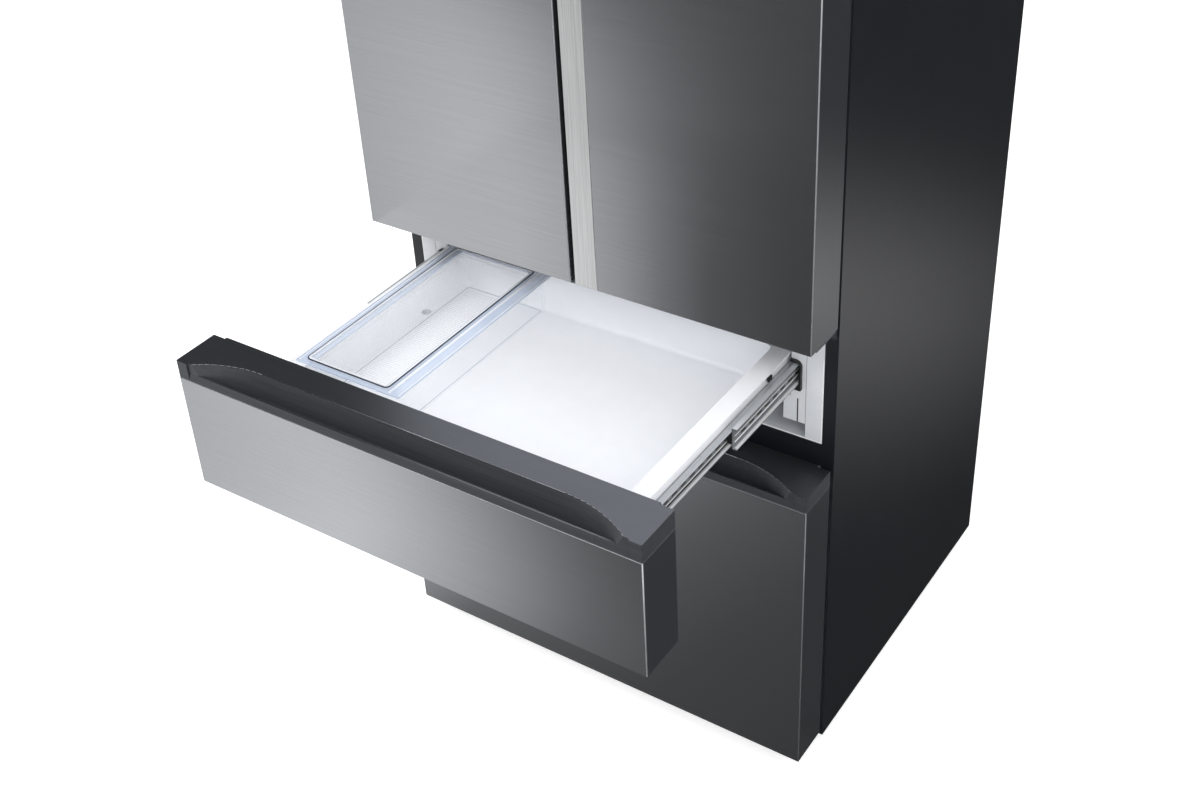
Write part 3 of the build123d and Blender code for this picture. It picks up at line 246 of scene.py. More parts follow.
def bead(points, faces, start, end, width, rise, outward):
    """Add a pressed bead with rounded ends: half an oval in section, along one straight line."""
    start, end, outward = Vector(start), Vector(end), Vector(outward)
    along = (end - start).normalized()
    side = along.cross(outward).normalized()
    first, arc = len(points), 8
    rows = []
    for place, scale in ((start - along * width / 2, 0.05), (start - along * width / 4, 0.8),
                         (start, 1.0), (end, 1.0), (end + along * width / 4, 0.8),
                         (end + along * width / 2, 0.05)):
        rows.append(len(points))
        for step in range(arc + 1):
            turn = math.pi * step / arc
            points.append(place + side * math.cos(turn) * width / 2 * scale
                          + outward * math.sin(turn) * rise * scale)
    for low_row, high_row in zip(rows, rows[1:]):
        for step in range(arc):
            faces.append((low_row + step, low_row + step + 1, high_row + step + 1,
                          high_row + step))
        faces.append((low_row, high_row, high_row + arc, low_row + arc))
    faces.append(tuple(range(first, first + arc + 1)))
    faces.append(tuple(range(rows[-1], rows[-1] + arc + 1)))


points, faces = [], []
bead_inset, bead_width, bead_rise = 0.12, 0.018, 0.0022
for x in (-0.27, -0.09, 0.09, 0.27):
    bead(points, faces, (x, back_y, low[2] + bead_inset), (x, back_y, high[2] - bead_inset),
         bead_width, bead_rise, (0, 1, 0))
solid_piece("back_panel_beads", points, faces, galvanised, "cabinet", True)

# Insulation.  Polyurethane foam poured between the sheets; straw coloured, with a skin of
# fine cells, and only seen where a piece is opened up.

foam = finish("poured_polyurethane_foam", "#D6C188", "#EBDCB0", 3.0, (0.9, 1.0), {"IOR": 1.45},
              relief_mm=0.4)
dress(foam, "cabinet_foam", "left_door_foam", "right_door_foam", "middle_front_foam",
      "lower_front_foam")

# Compartment liners, the doors' and drawers' inner panels, the air duct and the evaporator's
# cover.  White high-impact polystyrene sheet, vacuum formed; the skin is satin and keeps the
# slow waviness of formed sheet.

liner_sheet = finish("vacuum_formed_polystyrene", "#DDE0E5", "#E3E6EA", 26.0, (0.3, 0.38),
                     {"IOR": 1.59}, relief_mm=0.05, mottle_mm=180)
dress(liner_sheet, "fridge_liner", "middle_liner", "lower_liner", "left_door_liner",
      "right_door_liner", "middle_inner_panel", "lower_inner_panel", "air_duct",
      "evaporator_cover")


def boxes(name, spans, material, body, round_mm=0.0):
    """One piece made of plain blocks, their edges rounded when round_mm is given."""
    mesh = bpy.data.meshes.new(name)
    shape = bmesh.new()
    for start, end in spans:
        size = [abs(b - a) for a, b in zip(start, end)]
        centre = [(a + b) / 2 for a, b in zip(start, end)]
        place = Matrix.Translation(centre) @ Matrix.Diagonal((*size, 1))
        bmesh.ops.create_cube(shape, size=1.0, matrix=place)
    if round_mm:
        bmesh.ops.bevel(shape, geom=shape.edges[:], offset=round_mm / 1000, segments=2,
                        affect="EDGES")
    shape.to_mesh(mesh)
    shape.free()
    mesh.materials.append(material)
    made = placed(name, mesh)
    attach(made, body)
    return made


def both_sides(spans):
    """The same blocks on the right and, mirrored, on the left."""
    return spans + [((-end[0], start[1], start[2]), (-start[0], end[1], end[2]))
                    for start, end in spans]


# Near-white strips on the liner's edge round the drawer's mouth: a painted highlight line.
# Mating seams between its parts collect a soft shadow, painted as a grey strip.
low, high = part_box("middle_liner")
front_y = low[1]
mouth_edge_highlight = finish("painted_highlight_polystyrene", "#F6F8FB", "#FFFFFF", 8.0, (0.25, 0.35),
                      {"IOR": 1.59})
seam_shadow = finish("seam_grey_polystyrene", "#7E8288", "#8B8F95", 8.0, (0.5, 0.6), {"IOR": 1.59})
edge_y, edge_end, mouth_top = front_y - 0.0002, front_y + 0.0008, high[2] - 0.03
edges = both_sides([((high[0] - 0.0019, edge_y, low[2] + 0.001),
                     (high[0] - 0.0001, edge_end, mouth_top))])
edges.append(((0.0005 - high[0], edge_y, low[2] + 0.0005),
              (high[0] - 0.0005, edge_end, low[2] + 0.0025)))
boxes("liner_mouth_highlights", edges, mouth_edge_highlight, "cabinet")
seams = [((0.3566, edge_y, low[2] + 0.008), (0.3573, edge_end, mouth_top))]
boxes("liner_mouth_seams", both_sides(seams), seam_shadow, "cabinet")

# Hinges.  Pressed steel plates with turned pins, painted grey before they are screwed to the
# cabinet; their grey is drawn dark, as painted shade for the doors' shadow over them.  Black
# moulded covers clip over the upper pair.

hinge_paint_and_shade = finish("grey_steel_with_painted_shade", "#34363A", "#3E4044", 3.0, (0.34, 0.42), {"IOR": 1.5},
                     relief_mm=0.01)
dress(hinge_paint_and_shade, "top_hinges", "middle_hinges")
dress(black_moulding, "hinge_covers")
hex_head = [(0.0062, -0.0004), (0.0062, 0.0024), (0.0052, 0.0030)]
bolts = []
low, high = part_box("middle_hinges")
cabinet_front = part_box("cabinet_shell")[0][1]
plate_depth, bolt_height = 0.004, 0.0065
for side in (-1, 1):
    for inset in (0.016, 0.044):
        x = high[0] - inset
        bolts.append((side * x, cabinet_front - plate_depth, low[2] + bolt_height))
solid_piece("hinge_bolts", *turned(bolts, (0, -1, 0), hex_head, 6), plated_screw, "cabinet")

# Telescopic slides.  Cold rolled steel channels, zinc plated bright; three members nest in
# each other on ball cages.  Rolling leaves faint lines along them, and a black clip and a
# black buffer stop the bin and the members.

# Faces turned up or down get a lighter, less metallic copy of the zinc colour: a painted highlight
# on the flanges.
zinc = finish("zinc_plated_steel", "#7A7D81", "#8E9195", 0.9, (0.26, 0.34), {"Metallic": 0.6},
              stretch=(1, 0.02, 1), facing=("Z", "#B4B7BB", "#CDD0D4", 0.3))
dress(zinc, "cabinet_rails", "middle_drawer_rails", "middle_slide_members", "lower_drawer_rails",
      "lower_slide_members")
# Buffers and clips; moulded in black acetal, smooth and slightly glossy.  The same black is
# also painted shade in the slides' slots and corners and in the guards' grooves.
black_acetal_and_shade = finish("black_acetal_and_painted_shade", "#0D0D0E", "#151517", 2.0, (0.35, 0.45),
                      {"IOR": 1.48})
# Edges, ribs and ball tracks of the members are coloured near white and not metallic: painted
# highlight lines along the rolled steel.
highlight_zinc = finish("painted_highlight_zinc", "#F6F7F8", "#FFFFFF", 4.0, (0.3, 0.36),
                   {"Metallic": 0.0, "IOR": 2.2})


def rods(name, lines, radius, material, body):
    """Smooth round edges, one along each pair of points."""
    points, faces = [], []
    for start, end in lines:
        along = Vector(end) - Vector(start)
        more, joined = turned([start], along, [(radius, 0), (radius, along.length)], 12)
        faces += [tuple(corner + len(points) for corner in face) for face in joined]
        points += more
    return solid_piece(name, points, faces, material, body, True)


def both_lines(lines):
    """The same lines on the right and, mirrored, on the left."""
    return lines + [((-start[0], *start[1:]), (-end[0], *end[1:])) for start, end in lines]


def slot_shade_row(count, face, sink, start, low_z, high_z):
    """Black strips in a web, sunk behind its face, one at each pitch from its front end: painted
    shade for the dark seen through its slots.
    """
    pitch, length, proud = 0.024, 0.013, 0.0003
    spans = []
    for number in range(1, count + 1):
        y = start + pitch * number
        spans.append(((face - sink, y, low_z), (face + proud, y + length, high_z)))
    return spans


for drawer, runner in (("middle", "middle_slides"), ("lower", "lower_slides")):
    pull = drawer + "_drawer"
    low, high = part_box(drawer + "_slide_members")
    z = (low[2] + high[2]) / 2
    out_x, half = high[0], (high[2] - low[2]) / 2
    web_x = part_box(drawer + "_drawer_rails")[1][0] + 0.0003
    front = low[1]
    # Rim rolled round the front end of the middle member; it leaves the channel free.
    rim_y, rim_end = front - 0.0014, front + 0.0012
    rims = [((web_x, rim_y, z - half - 0.0004), (out_x + 0.0002, rim_end, z - half + 0.0014)),
            ((web_x, rim_y, z - half), (web_x + 0.0016, rim_end, z + half)),
            ((web_x, rim_y, z + half - 0.0014), (out_x + 0.0002, rim_end, z + half + 0.0004))]
    boxes(drawer + "_slide_rims", both_sides(rims), zinc, runner, 0.3)
    buffers = [((web_x - 0.0075, front - 0.0022, z - 0.010),
                (web_x - 0.0006, front - 0.0002, z + 0.010))]
    boxes(drawer + "_slide_buffers", both_sides(buffers), black_acetal_and_shade, runner, 0.3)
    # Long pressed ribs beside the row of slots, along the middle member's web, in the near-white
    # painted highlight.
    rib_y, rib_end = front + 0.004, high[1] - 0.004
    ribs = [((web_x + 0.0013, rib_y, z + 0.0012), (web_x + 0.0022, rib_end, z + 0.0022)),
            ((web_x + 0.0013, rib_y, z - 0.0094), (web_x + 0.0025, rib_end, z - 0.0078))]
    boxes(drawer + "_slide_ribs", both_sides(ribs), highlight_zinc, runner, 0.4)
    rail_low, rail_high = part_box(drawer + "_drawer_rails")
    rail_x, rail_low_z = rail_high[0], z - 0.013
    # Pressed ribs on the drawer member's web, also in the near-white painted highlight.
    rib_y, rib_end = rail_low[1] + 0.012, rail_high[1] - 0.01
    ribs = [((rail_x - 0.0091, rib_y, z - 0.0012), (rail_x - 0.0083, rib_end, z - 0.0002)),
            ((rail_x - 0.0091, rib_y, z - 0.0098), (rail_x - 0.0080, rib_end, z - 0.0086))]
    boxes(drawer + "_rail_ribs", both_sides(ribs), highlight_zinc, pull, 0.2)
    # Black strips along the webs of both members: painted shade for the dark seen through their
    # slots.
    slot_shades = slot_shade_row(18, rail_x - 0.0090, 0.0004, rail_low[1], z - 0.0054, z - 0.0018)
    boxes(drawer + "_rail_slot_shades", both_sides(slot_shades), black_acetal_and_shade, pull)
    slot_shades = slot_shade_row(16, web_x + 0.0015, 0.0006, low[1], z - 0.0054, z - 0.0014)
    boxes(drawer + "_slide_slot_shades", both_sides(slot_shades), black_acetal_and_shade, runner)
    # Lower flanges: a near-white film on each ball track is a painted highlight, and a black film
    # in the inner corner of the drawer's member is painted shade.
    film, end_gap, track_rise = 0.0002, 0.001, 0.0015
    rail_y, rail_end = rail_low[1] + end_gap, rail_high[1] - end_gap
    slide_y, slide_end = low[1] + end_gap, high[1] - end_gap
    track_z, slide_z = rail_low_z + track_rise, z - half + track_rise
    track_highlights = [((rail_x - 0.0040, rail_y, track_z), (rail_x - 0.0002, rail_end, track_z + film))]
    boxes(drawer + "_rail_track_highlights", both_sides(track_highlights), highlight_zinc, pull)
    corner_shade = [((rail_x - 0.0088, rail_y, track_z), (rail_x - 0.0066, rail_end, track_z + film))]
    boxes(drawer + "_rail_corner_shade", both_sides(corner_shade), black_acetal_and_shade, pull)
    track_highlights = [((out_x - 0.0048, slide_y, slide_z), (out_x - 0.0002, slide_end, slide_z + film))]
    boxes(drawer + "_slide_track_highlights", both_sides(track_highlights), highlight_zinc, runner)
    # Rods along the members' outer edges, in the near-white painted highlight.
    edge = 0.0009
    x, z_edge = rail_x - edge, rail_low_z + edge
    rods(drawer + "_rail_edges", both_lines([((x, rail_y, z_edge), (x, rail_end, z_edge))]), edge,
         highlight_zinc, pull)
    x = out_x - edge
    lines = [((x, slide_y, z_edge), (x, slide_end, z_edge))
             for z_edge in (z + half - edge, z - half + edge)]
    rods(drawer + "_slide_edges", both_lines(lines), edge, highlight_zinc, runner)
# Stop clip of the bin on each runner, and black collars in the guards that wipe the slides.
clips = [((0.3274, -0.1262, 0.7958), (0.3306, -0.1146, 0.8036))]
boxes("bin_clips", both_sides(clips), black_acetal_and_shade, "middle_drawer", 0.5)


def upright_slab(points, faces, outline, low_y, high_y):
    """Add a slab of an even thickness whose outline stands in a plane across the object."""
    first, count = len(points), len(outline)
    points += [(x, y, z) for y in (low_y, high_y) for x, z in outline]
    faces += [tuple(range(first, first + count)), tuple(range(first + count, first + 2 * count))]
    for step in range(count):
        after = (step + 1) % count
        faces.append((first + step, first + after, first + count + after, first + count + step))


points, faces = [], []
collar_out, collar_low, collar_high, corner = 0.3500, 0.7460, 0.7990, 0.0110
collar_in, slot_out, slot_low, slot_high = 0.3312, 0.3468, 0.7560, 0.7955
outline, corner_steps = [(collar_in, collar_high)], 6
for step in range(corner_steps + 1):
    turn = math.pi / 2 * (1 - step / corner_steps)
    outline.append((collar_out - corner + corner * math.cos(turn),
                    collar_high - corner + corner * math.sin(turn)))
outline += [(collar_out, collar_low), (collar_in, collar_low), (collar_in, slot_low),
            (slot_out, slot_low), (slot_out, slot_high), (collar_in, slot_high)]
for side in (1, -1):
    upright_slab(points, faces, [(side * x, z) for x, z in outline], front_y - 0.006, front_y)
solid_piece("slide_collars", points, faces, black_acetal_and_shade, "cabinet")
# A black strip in the groove beside each guard's foot: painted shade for the dark behind it.
groove_shades = [((0.3424, front_y - 0.0002, 0.6835), (0.3444, front_y + 0.0008, 0.7270))]
boxes("guard_groove_shades", both_sides(groove_shades), black_acetal_and_shade, "cabinet")

# Door bins and crispers.  Injection moulded clear polystyrene, clear as glass face on and
# blue-grey where a wall is seen through its whole depth; their rims are polished bright.


def clear_moulding(name, face, edge, alpha_face, alpha_edge, gloss, thick_above=None):
    """Clear plastic: see-through face on, deeper coloured where it is seen at a slant.

    thick_above is (height, colour, alpha): above that height the wall is thicker and deeper
    coloured.
    """
    made = bpy.data.materials.new(name)
    made.use_nodes = True
    tree = made.node_tree
    shader = tree.nodes["Principled BSDF"]
    shader.inputs["IOR"].default_value = 1.59
    slant = add_node(tree, "ShaderNodeLayerWeight", None, {"Blend": 0.35})
    place = add_node(tree, "ShaderNodeTexCoord")
    flow = add_node(tree, "ShaderNodeTexNoise", None, {
        "Vector": place.outputs["Object"], "Scale": 1000 / 40, "Detail": 1.0})
    colour = blend(tree, "RGBA", slant.outputs["Facing"], linear_colour(face), linear_colour(edge))
    depth = add_node(tree, "ShaderNodeMapRange", None, {
        "Value": slant.outputs["Facing"], "To Min": alpha_face, "To Max": alpha_edge})
    cover = depth.outputs["Result"]
    if thick_above:
        height, thick_colour, thick_alpha = thick_above
        axes = add_node(tree, "ShaderNodeSeparateXYZ", None, {"Vector": place.outputs["Object"]})
        thick = maths(tree, "GREATER_THAN", axes.outputs["Z"], height)
        colour = blend(tree, "RGBA", thick, colour, linear_colour(thick_colour))
        cover = blend(tree, "FLOAT", thick, cover, thick_alpha)
    # Light passes clear plastic, so its shadow is far fainter than its look.
    path = add_node(tree, "ShaderNodeLightPath")
    passing = maths(tree, "MAXIMUM", path.outputs["Is Shadow Ray"], path.outputs["Is Diffuse Ray"])
    share = add_node(tree, "ShaderNodeMapRange", None, {
        "Value": passing, "To Min": 1.0, "To Max": 0.03})
    covers = maths(tree, "MULTIPLY", cover, share.outputs["Result"])
    tree.links.new(colour, shader.inputs["Base Color"])
    tree.links.new(covers, shader.inputs["Alpha"])
    rough = add_node(tree, "ShaderNodeMapRange", None, {
        "Value": flow.outputs["Fac"], "To Min": gloss[0], "To Max": gloss[1]})
    tree.links.new(rough.outputs["Result"], shader.inputs["Roughness"])
    return made


clear_styrene = clear_moulding("moulded_clear_polystyrene", "#DCE3EC", "#A9B7CB", 0.16, 0.6,
                               (0.04, 0.1))
dress(clear_styrene, "crisper_drawers", "left_door_bins", "right_door_bins")

# Shelves.  Toughened float glass, 4 mm thick, clear with the faint green of float glass
# towards its edges.

float_glass = clear_moulding("toughened_float_glass", "#DFEDE8", "#9CC4B6", 0.14, 0.6,
                             (0.02, 0.04))
dress(float_glass, "glass_shelves")

# Door and drawer skins.  Dark stainless steel sheet, 1 mm, brushed from side to side and
# folded over the edges.  Real brush lines are under 0.1 mm apart; they are drawn about
# 1.1 mm apart, which is as coarse as it takes for them to show, and they dim the mirror.


def brushed(name, dark, light, gloss, stretch, surface, facing=None):
    """Brushed sheet: long fine lines along one direction, over slow shade changes."""
    return finish(name, dark, light, 1.1, gloss, surface, stretch=stretch, mottle_mm=3.5,
                  facing=facing)


# The folded sides are painted a satin dark grey.
front_steel = brushed("brushed_stainless_sheet", "#B7B9BD", "#BCBEC2", (0.205, 0.22),
                      (0.012, 0.012, 1), {"Metallic": 1.0}, ("X", "#2B2D30", "#343639", 0.0))
dress(front_steel, "left_door_skin", "right_door_skin", "middle_front_panel", "lower_front_panel")
# The sheet folds round each front edge on a small radius; the fold's pale, partly metallic colour
# is a painted highlight along it.
highlight_fold_steel = finish("painted_highlight_steel_fold", "#A9ABAE", "#B4B6B9", 3.0, (0.22, 0.28),
                    {"Metallic": 0.35})
# The lower front's fold gets a darker copy of that colour, painted shade.
shaded_fold_steel = finish("painted_shade_steel_fold", "#74767A", "#808286", 3.0, (0.3, 0.36),
                          {"Metallic": 0.35})
fold, sink, fold_end = 0.0011, 0.0009, 0.0005
for skin, body, fold_finish in (
        ("left_door_skin", "left_door", highlight_fold_steel), ("right_door_skin", "right_door", highlight_fold_steel),
        ("middle_front_panel", "middle_drawer", highlight_fold_steel),
        ("lower_front_panel", "lower_drawer", shaded_fold_steel)):
    low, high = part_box(skin)
    sides_x = [high[0] - sink] if skin == "right_door_skin" else [low[0] + sink, high[0] - sink]
    y = low[1] + sink
    lines = [((x, y, low[2] + fold_end), (x, y, high[2] - fold_end)) for x in sides_x]
    if body.endswith("drawer"):
        z = high[2] - sink
        lines.append(((low[0] + 2 * fold_end, y, z), (high[0] - 2 * fold_end, y, z)))
    rods(skin + "_folds", lines, fold, fold_finish, body)

# Strip on the free edge of the right door.  Extruded aluminium, brushed upright and clear
# anodised, so it stays brighter and more even than the steel beside it.

strip_aluminium = brushed("brushed_anodised_aluminium", "#D2D3D4", "#EDEEEE", (0.28, 0.34),
                          (1, 1, 0.012), {"Metallic": 0.85})
dress(strip_aluminium, "centre_trim")

# Door end caps.  Charcoal moulded plastic plates that close the skins at the top and the
# bottom; fine spark-eroded texture.

charcoal_moulding = finish("textured_charcoal_abs", "#26272A", "#303135", 1.2, (0.45, 0.58),
                           {"IOR": 1.54}, relief_mm=0.04)
dress(charcoal_moulding, "left_door_caps", "right_door_caps")

# Seals and the flap.  Extruded grey PVC seals with a magnet strip inside, matt and soft,
# and a grey moulded flap that bridges the gap between the two doors.

seal_pvc = finish("extruded_grey_pvc", "#6A6C70", "#75777B", 1.5, (0.55, 0.7), {"IOR": 1.53},
                  relief_mm=0.03)
dress(seal_pvc, "left_door_gasket", "right_door_gasket", "middle_gasket", "lower_gasket")
grey_moulding = finish("moulded_grey_polypropylene", "#6D7074", "#7A7D81", 1.2, (0.45, 0.58),
                       {"IOR": 1.49}, relief_mm=0.03)
dress(grey_moulding, "mullion_flap")

# Handle caps.  Charcoal aluminium, die cast, brushed from side to side and dyed dark; they
# look deeper than the steel below because the dyed skin takes up light.

# Faces turned up or down get a lighter, more metallic copy of the cap's colour: a painted
# highlight on the tops, against the darker fronts.
cap_aluminium = brushed("dyed_brushed_aluminium", "#3A3C40", "#45474B", (0.30, 0.36),
                        (0.012, 0.3, 1), {"Metallic": 0.1, "Specular IOR Level": 0.3},
                        ("Z", "#494B4F", "#525458", 0.8))
dress(cap_aluminium, "middle_handle_cap", "lower_handle_cap")


def scoop_edge(cap, body):
    """Points along the scoop's upper edge: the cap's top has its other edges on its outline."""
    low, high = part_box(cap)
    level, border, half, sharp = 0.0002, 0.0005, 0.380, 0.5
    shape = bmesh.new()
    shape.from_mesh(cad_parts[cap].data)
    bmesh.ops.remove_doubles(shape, verts=shape.verts, dist=0.00001)
    found = {}
    for edge in shape.edges:
        ends = [vertex.co for vertex in edge.verts]
        inside = all(abs(end.z - high[2]) < level and low[1] + border < end.y < high[1] - border
                     and abs(end.x) < half for end in ends)
        if inside and len(edge.link_faces) == 2 and edge.calc_face_angle(0) > sharp:
            for end in ends:
                found[round(end.x, 4)] = end.copy()
    shape.free()
    return [found[x] for x in sorted(found)]


# The polished edge is a thin bead, in straight lengths of at least 6 mm.
edge_length, edge_radius = 0.006, 0.0006
polished_edge = finish("polished_aluminium_edge", "#797B7F", "#87898D", 3.0, (0.2, 0.28),
                       {"Metallic": 0.9})
for cap, body in (("middle_handle_cap", "middle_drawer"), ("lower_handle_cap", "lower_drawer")):
    line = []
    for point in scoop_edge(cap, body):
        if not line or (point - line[-1]).length > edge_length:
            line.append(point)
    rods(cap + "_edge", list(zip(line, line[1:])), edge_radius, polished_edge, body)

# Drawer bins and the tray.  White polypropylene, injection moulded with a polished inside,
# which gives soft wide highlights and slow shade changes.

bin_plastic = finish("moulded_white_polypropylene", "#F1F3F7", "#F4F6FA", 30.0, (0.3, 0.36),
                     {"IOR": 1.49}, mottle_mm=160)
dress(bin_plastic, "middle_bin", "lower_bin", "lower_tray")

# Sealed box and its lid.  Clear moulded plastic; the flange round the top is thicker and
# looks pale blue, the lid is milky.  A dark slate ring round the lid is painted shade for the
# gap at its edge, and a grey button in the lid lets the air out.

flange_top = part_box("sealed_box")[1][2]
box_styrene = clear_moulding("moulded_blue_clear_styrene", "#F3F6FA", "#DCE4F0", 0.05, 0.20,
                             (0.05, 0.1), (flange_top - 0.003, "#BECCE4", 0.55))
dress(box_styrene, "sealed_box")
lid_styrene = clear_moulding("moulded_milky_styrene", "#F4F5F8", "#EEF0F4", 0.07, 0.14,
                             (0.06, 0.12))
dress(lid_styrene, "sealed_box_lid")


def rounded_loop(low_x, high_x, low_y, high_y, radius, steps=8):
    """Points round a rectangle with rounded corners."""
    loop = []
    for count, (x, y) in enumerate((
            (high_x - radius, high_y - radius), (low_x + radius, high_y - radius),
            (low_x + radius, low_y + radius), (high_x - radius, low_y + radius))):
        for step in range(steps + 1):
            turn = math.pi / 2 * (count + step / steps)
            loop.append((x + radius * math.cos(turn), y + radius * math.sin(turn)))
    return loop


def frame_piece(name, outer, inner, low_z, high_z, material, body):
    """A flat frame between two loops of the same count of points."""
    count = len(outer)
    points = [(x, y, z) for z in (low_z, high_z) for loop in (outer, inner) for x, y in loop]
    faces = []
    for step in range(count):
        after = (step + 1) % count
        for first, second in ((0, 1), (1, 3), (3, 2), (2, 0)):
            faces.append((first * count + step, first * count + after, second * count + after,
                          second * count + step))
    return solid_piece(name, points, faces, material, body)


def inset_loop(low, high, inset, radius):
    """The rounded outline between two corners, drawn in by an inset."""
    return rounded_loop(low[0] + inset, high[0] - inset, low[1] + inset, high[1] - inset, radius)


lid_low, lid_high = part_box("sealed_box_lid")
# A dark slate blue ring about 2 mm wide round the lid's rim: painted shade for the gap at its
# edge.
lid_gap_shade = finish("painted_lid_gap_shade", "#1E2434", "#2A3042", 2.0, (0.45, 0.6),
                        {"IOR": 1.41})
gap_shade_outer = inset_loop(lid_low, lid_high, -0.0003, 0.0083)
gap_shade_inner = inset_loop(lid_low, lid_high, 0.0016, 0.0066)
frame_piece("lid_gap_shade_ring", gap_shade_outer, gap_shade_inner, lid_high[2] - 0.0006, lid_high[2] + 0.0006,
            lid_gap_shade, "box_lid")
# Raised border of the lid, 3 mm wide, far more opaque than the lid so it shows as a painted
# highlight band.
border_inner = inset_loop(lid_low, lid_high, 0.0046, 0.005)
highlight_and_rib_styrene = clear_moulding("painted_highlight_and_rib_styrene", "#F4F6FA", "#E8ECF4", 0.55, 0.75,
                                (0.05, 0.08))
lid_border = frame_piece("lid_border", gap_shade_inner, border_inner, lid_high[2],
                         lid_high[2] + 0.0008, highlight_and_rib_styrene, "box_lid")
# Ridges along the flange in the same near-white, as painted highlight lines; a thin deeper line
# round the box's foot, and fine ribs on its floor.
box_low, box_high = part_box("sealed_box")
ridges = [((from_x, box_low[1] + 0.003, flange_top),
           (to_x, box_high[1] - 0.003, flange_top + 0.0008))
          for from_x, to_x in ((box_low[0] + 0.004, box_low[0] + 0.0056),
                               (box_high[0] - 0.0030, box_high[0] - 0.0012),
                               (lid_high[0] + 0.0045, lid_high[0] + 0.0090))]
boxes("flange_ridges", ridges, highlight_and_rib_styrene, "box", 0.25)
foot_low = (box_low[0] + 0.0245, box_low[1] + 0.004)
foot_high = (box_high[0] - 0.0095, box_high[1] - 0.004)
floor_z = box_low[2]
deep_styrene = clear_moulding("deep_styrene_edge", "#A3B0C4", "#8595AD", 0.7, 0.9, (0.1, 0.2))
outer = inset_loop(foot_low, foot_high, 0.008, 0.006)
inner = inset_loop(foot_low, foot_high, 0.009, 0.005)
frame_piece("box_foot_line", outer, inner, floor_z + 0.0026, floor_z + 0.0030, deep_styrene, "box")
ribs = []
rib_count, rib_pitch, rib_width = 72, 0.005, 0.0010
rib_low, rib_high = floor_z + 0.0025, floor_z + 0.0030
rib_left, rib_right, first_rib = foot_low[0] + 0.014, lid_high[0] - 0.042, 0.016
for count in range(rib_count):
    y = foot_low[1] + first_rib + rib_pitch * count
    ribs.append(((rib_left, y, rib_low), (rib_right, y + rib_width, rib_high)))
floor_ribs = boxes("box_floor_ribs", ribs, highlight_and_rib_styrene, "box")
# Clear plastic passes the light that falls on it, so these leave no shadow in the box.
for clear_piece in (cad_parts["sealed_box"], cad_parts["sealed_box_lid"], floor_ribs,
                    lid_border):
    clear_piece.visible_shadow = False
    clear_piece.visible_diffuse = False
# Vent button, 15 mm across.
button_plastic = finish("moulded_grey_vent_plastic", "#A6A9AE", "#B4B7BC", 1.5, (0.35, 0.5),
                        {"IOR": 1.49})
button = [(0.0075, 0.0), (0.0075, 0.0008), (0.0068, 0.0013), (0.0045, 0.0013), (0.0042, 0.0008),
          (0.002, 0.0008)]
middle_x, middle_y = (lid_low[0] + lid_high[0]) / 2, (lid_low[1] + lid_high[1]) / 2
button_place = (middle_x, middle_y + 0.004, lid_high[2])
solid_piece("lid_vent_button", *turned([button_place], (0, 0, 1), button, 28), button_plastic,
            "box_lid", True)

# Cooling circuit behind the covers.  Rolled aluminium fins on the coils, a black enamelled
# compressor, moulded fans and drain pan, and rollers of grey plastic.

fin_aluminium = finish("rolled_aluminium_foil", "#A6A9AC", "#C6C9CC", 6.0, (0.3, 0.45),
                       {"Metallic": 1.0})
dress(fin_aluminium, "evaporator", "condenser")
enamel = finish("black_stoved_enamel", "#0E0F11", "#17181A", 4.0, (0.2, 0.3),
                {"IOR": 1.5, "Coat Weight": 0.3}, relief_mm=0.01)
dress(enamel, "compressor")
dress(grey_moulding, "drain_pan", "rear_roller_left", "rear_roller_right")
dress(black_moulding, "evaporator_fan", "condenser_fan")

# Levelling feet.  Moulded black rubber pads on threaded stems, matt with a fine texture.

foot_rubber = finish("moulded_black_rubber", "#111112", "#1B1B1D", 1.2, (0.6, 0.75), {"IOR": 1.5},
                     relief_mm=0.05)
dress(foot_rubber, "levelling_foot_left", "levelling_foot_right")

# Studio floor.  A plain white sheet; the camera and every mirror see it as bright white, with
# the object's own soft shadow left on it.

floor_mesh = bpy.data.meshes.new("studio_floor")
reach = 15.0
floor_mesh.from_pydata([
    (-reach, -reach, 0), (reach, -reach, 0), (reach, reach, 0), (-reach, reach, 0)],
    [], [(0, 1, 2, 3)])
studio_floor = placed("studio_floor", floor_mesh)
studio_floor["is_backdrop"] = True
paper = bpy.data.materials.new("white_backdrop_paper")
paper.use_nodes = True
tree = paper.node_tree
shader = tree.nodes["Principled BSDF"]
shader.inputs["Base Color"].default_value = linear_colour("#E6E6E6")
shader.inputs["Roughness"].default_value = 0.9
shader.inputs["Specular IOR Level"].default_value = 0.0
path = add_node(tree, "ShaderNodeLightPath")
mirrors = maths(tree, "MAXIMUM", path.outputs["Is Glossy Ray"],
                path.outputs["Is Transmission Ray"])
bright = add_node(tree, "ShaderNodeEmission", None, {"Color": (1, 1, 1, 1), "Strength": 1.0})
lift = add_node(tree, "ShaderNodeEmission", None, {"Color": (1, 1, 1, 1), "Strength": 0.62})
shaded = add_node(tree, "ShaderNodeAddShader", None,
                  {0: shader.outputs["BSDF"], 1: lift.outputs["Emission"]})
seen = add_node(tree, "ShaderNodeMixShader", None, {
    "Fac": path.outputs["Is Camera Ray"], 1: shader.outputs["BSDF"], 2: shaded.outputs["Shader"]})
mixed = add_node(tree, "ShaderNodeMixShader", None, {
    "Fac": mirrors, 1: seen.outputs["Shader"], 2: bright.outputs["Emission"]})
tree.links.new(mixed.outputs["Shader"], tree.nodes["Material Output"].inputs["Surface"])
floor_mesh.materials.append(paper)

# Studio surroundings.  White all round: fully white to the camera, to mirrors and through
# clear plastic, and a little dimmer as the light that falls on the object.

